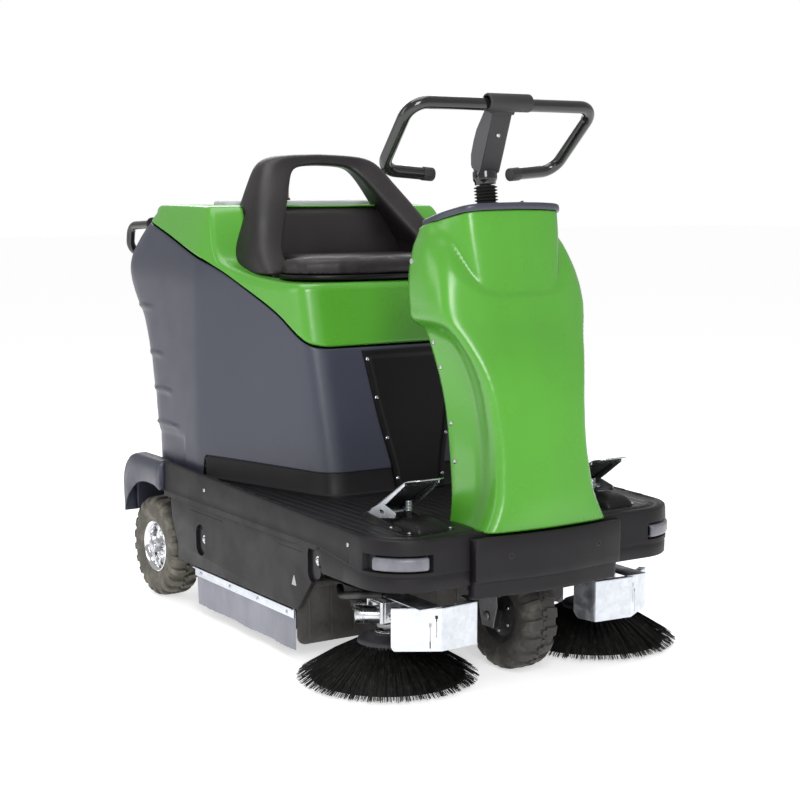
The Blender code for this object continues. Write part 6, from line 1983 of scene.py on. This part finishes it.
def studio_lights():
    scene = bpy.context.scene
    world = bpy.data.worlds.new("white_studio")
    world.use_nodes = True
    sky = world.node_tree.nodes["Background"]
    fill(sky, Color=(1, 1, 1, 1), Strength=1)
    rays = world.node_tree.nodes.new("ShaderNodeLightPath")
    share = world.node_tree.nodes.new("ShaderNodeMapRange")
    fill(share, To_Min=0.46, To_Max=1)
    world.node_tree.links.new(rays.outputs["Is Camera Ray"], share.inputs["Value"])
    world.node_tree.links.new(share.outputs["Result"], sky.inputs["Strength"])
    scene.world = world
    scene.view_settings.view_transform = "Standard"
    soft_light("key_light", (-1.7, -3.7, 2.5), (0, 0, 0.5), 1.3, 2.2, 86)
    soft_light("side_light", (-3.6, 0.6, 1.9), (0, 0, 0.5), 1.2, 2.4, 20)
    soft_light("top_light", (-0.2, 0.2, 3.6), (0, 0, 0.5), 2.6, 2, 38)
    soft_light("rear_light", (1.5, 3.2, 2.6), (0, 0.2, 0.6), 2.4, 1.4, 34)


def studio_camera():
    lens = bpy.data.cameras.new("camera")
    lens.lens = 74.46
    lens.sensor_width = 36
    lens.clip_end = 100
    camera = bpy.data.objects.new("camera", lens)
    camera.location = (-2.138, -3.411, 1.055)
    camera.rotation_euler = (radians(82.63), 0, radians(-32.89))
    bpy.context.scene.collection.objects.link(camera)
    bpy.context.scene.camera = camera


# ---- sizes and colours a user may change

def colour_setting(name, description, default):
    return bpy.props.FloatVectorProperty(name=name, description=description, default=default, min=0, max=1, size=3,
        subtype="COLOR")


class SweeperColours(bpy.types.PropertyGroup):
    """The colours of the mouldings."""

    green: colour_setting("Hood green", "Colour of the seat hood and the steering column", (0.084, 0.35, 0.026))
    slate: colour_setting("Body slate", "Colour of the body shell, mudguards and dash", (0.045, 0.049, 0.072))
    black: colour_setting("Deck black", "Colour of the deck, bumper and skirts", (0.0105, 0.009, 0.0105))
    flap: colour_setting("Flap grey", "Colour of the rubber dust flaps", (0.27, 0.275, 0.32))
    beacon: colour_setting("Beacon amber", "Colour of the beacon's lens", (0.85, 0.2, 0.02))


class SweeperSizes(bpy.types.PropertyGroup):
    """The sizes of the soft, bent and repeated details."""

    cushion_fill: bpy.props.FloatProperty(name="Cushion fill", description="How tightly the seat cushion is filled",
        default=0.8, min=0, max=1, subtype="FACTOR")
    bar_radius: bpy.props.FloatProperty(name="Handlebar radius", description="Radius of the handlebar's tube",
        default=0.0137, min=0.008, max=0.0138, subtype="DISTANCE", unit="LENGTH")
    mat_ribs: bpy.props.IntProperty(name="Mat ribs", description="Ribs across the footwell mat", default=30, min=12,
        max=60)
    lug_count: bpy.props.IntProperty(name="Tyre lugs", description="Lugs round each shoulder of a rear tyre",
        default=22, min=12, max=40)
    tuft_count: bpy.props.IntProperty(name="Brush tufts", description="Tufts in each ring of a side brush",
        default=56, min=20, max=72)


# ---- operators

class Step:
    """Runs one step's own build() with the sizes the user has set."""

    def execute(self, context):
        self.build(context.scene.sweeper_sizes)
        return {"FINISHED"}


class AddSteeringColumn(Step, bpy.types.Operator):
    """Build the column cover, its rear cover, the dash, the key and the steering top"""

    bl_idname = "sweeper.steering_column"
    bl_label = "Steering column"

    def build(self, sizes):
        column_cover()
        column_rear()
        dash_and_key()
        steering_top(sizes.bar_radius)


class AddBodyShell(Step, bpy.types.Operator):
    """Build the slate body shell, the green hood and the black plinth"""

    bl_idname = "sweeper.body_shell"
    bl_label = "Body shell and hood"

    def build(self, sizes):
        shell_skin()
        hood_skin()
        plinth_and_panel()


class AddSeat(Step, bpy.types.Operator):
    """Build the seat's arch and its padded cushion"""

    bl_idname = "sweeper.seat"
    bl_label = "Seat"

    def build(self, sizes):
        seat_arch()
        seat_cushion(sizes.cushion_fill)


class AddLidAndBeacon(Step, bpy.types.Operator):
    """Build the filter lid, the beacon and the rear bar"""

    bl_idname = "sweeper.lid_and_beacon"
    bl_label = "Lid, beacon and handle"

    def build(self, sizes):
        lid_beacon_handle()


class AddDeck(Step, bpy.types.Operator):
    """Build the deck, its ribbed mat, the corner lenses and the bumper"""

    bl_idname = "sweeper.deck"
    bl_label = "Deck"

    def build(self, sizes):
        deck_and_mat(sizes.mat_ribs)
        bumper()


class AddSkirts(Step, bpy.types.Operator):
    """Build the side skirts, the dust flaps and the mudguards"""

    bl_idname = "sweeper.skirts"
    bl_label = "Skirts and mudguards"

    def build(self, sizes):
        side_skirts()
        mudguards()


class AddRearWheels(Step, bpy.types.Operator):
    """Build the lugged rear tyres and their rims"""

    bl_idname = "sweeper.rear_wheels"
    bl_label = "Rear wheels"

    def build(self, sizes):
        rear_wheels(sizes.lug_count)


class AddFrontWheel(Step, bpy.types.Operator):
    """Build the steered front wheel and its fork"""

    bl_idname = "sweeper.front_wheel"
    bl_label = "Front wheel"

    def build(self, sizes):
        front_wheel()


class AddSideBrushes(Step, bpy.types.Operator):
    """Build the side brushes, their motors, arms and guards"""

    bl_idname = "sweeper.side_brushes"
    bl_label = "Side brushes"

    def build(self, sizes):
        side_brushes(sizes.tuft_count)
        brush_motors()
        brush_arms_and_guards()


class AddPedals(Step, bpy.types.Operator):
    """Build the two pedals with their hinges and springs"""

    bl_idname = "sweeper.pedals"
    bl_label = "Pedals"

    def build(self, sizes):
        pedals()


class AddInnerWorks(Step, bpy.types.Operator):
    """Build the main brush, the hopper and the works under the hood"""

    bl_idname = "sweeper.inner_works"
    bl_label = "Inner works"

    def build(self, sizes):
        main_brush()
        hopper()
        hidden_works()


class AddFinishes(Step, bpy.types.Operator):
    """Make every finish of the machine from the chosen colours"""

    bl_idname = "sweeper.finishes"
    bl_label = "Finishes"

    def build(self, sizes):
        make_looks(bpy.context.scene.sweeper_colours)


class AddStudio(Step, bpy.types.Operator):
    """Lay the pale floor and set the soft lights and the camera"""

    bl_idname = "sweeper.studio"
    bl_label = "Studio"

    def build(self, sizes):
        studio_floor()
        studio_lights()
        studio_camera()


STEPS = (AddFinishes, AddStudio, AddSteeringColumn, AddBodyShell, AddSeat, AddLidAndBeacon, AddDeck, AddSkirts,
    AddRearWheels, AddFrontWheel, AddSideBrushes, AddPedals, AddInnerWorks)


class SweeperPanel(bpy.types.Panel):
    """Lists the sweeper's colours, sizes and steps"""

    bl_idname = "VIEW3D_PT_sweeper"
    bl_label = "Ride-on sweeper"
    bl_space_type = "VIEW_3D"
    bl_region_type = "UI"
    bl_category = "Sweeper"

    def draw(self, context):
        column = self.layout.column()
        for group in (context.scene.sweeper_colours, context.scene.sweeper_sizes):
            for name in group.bl_rna.properties.keys():
                if name not in ("rna_type", "name"):
                    column.prop(group, name)
        for step in STEPS:
            column.operator(step.bl_idname, text=step.bl_label)


CLASSES = (SweeperColours, SweeperSizes) + STEPS + (SweeperPanel,)


def register():
    for each in CLASSES:
        bpy.utils.register_class(each)
    bpy.types.Scene.sweeper_colours = bpy.props.PointerProperty(type=SweeperColours)
    bpy.types.Scene.sweeper_sizes = bpy.props.PointerProperty(type=SweeperSizes)


def unregister():
    del bpy.types.Scene.sweeper_sizes
    del bpy.types.Scene.sweeper_colours
    for each in reversed(CLASSES):
        bpy.utils.unregister_class(each)


def main():
    register()
    bpy.ops.sweeper.finishes()
    bpy.ops.sweeper.studio()
    bpy.ops.sweeper.steering_column()
    bpy.ops.sweeper.body_shell()
    bpy.ops.sweeper.seat()
    bpy.ops.sweeper.lid_and_beacon()
    bpy.ops.sweeper.deck()
    bpy.ops.sweeper.skirts()
    bpy.ops.sweeper.rear_wheels()
    bpy.ops.sweeper.front_wheel()
    bpy.ops.sweeper.side_brushes()
    bpy.ops.sweeper.pedals()
    bpy.ops.sweeper.inner_works()


if __name__ == "__main__":
    main()
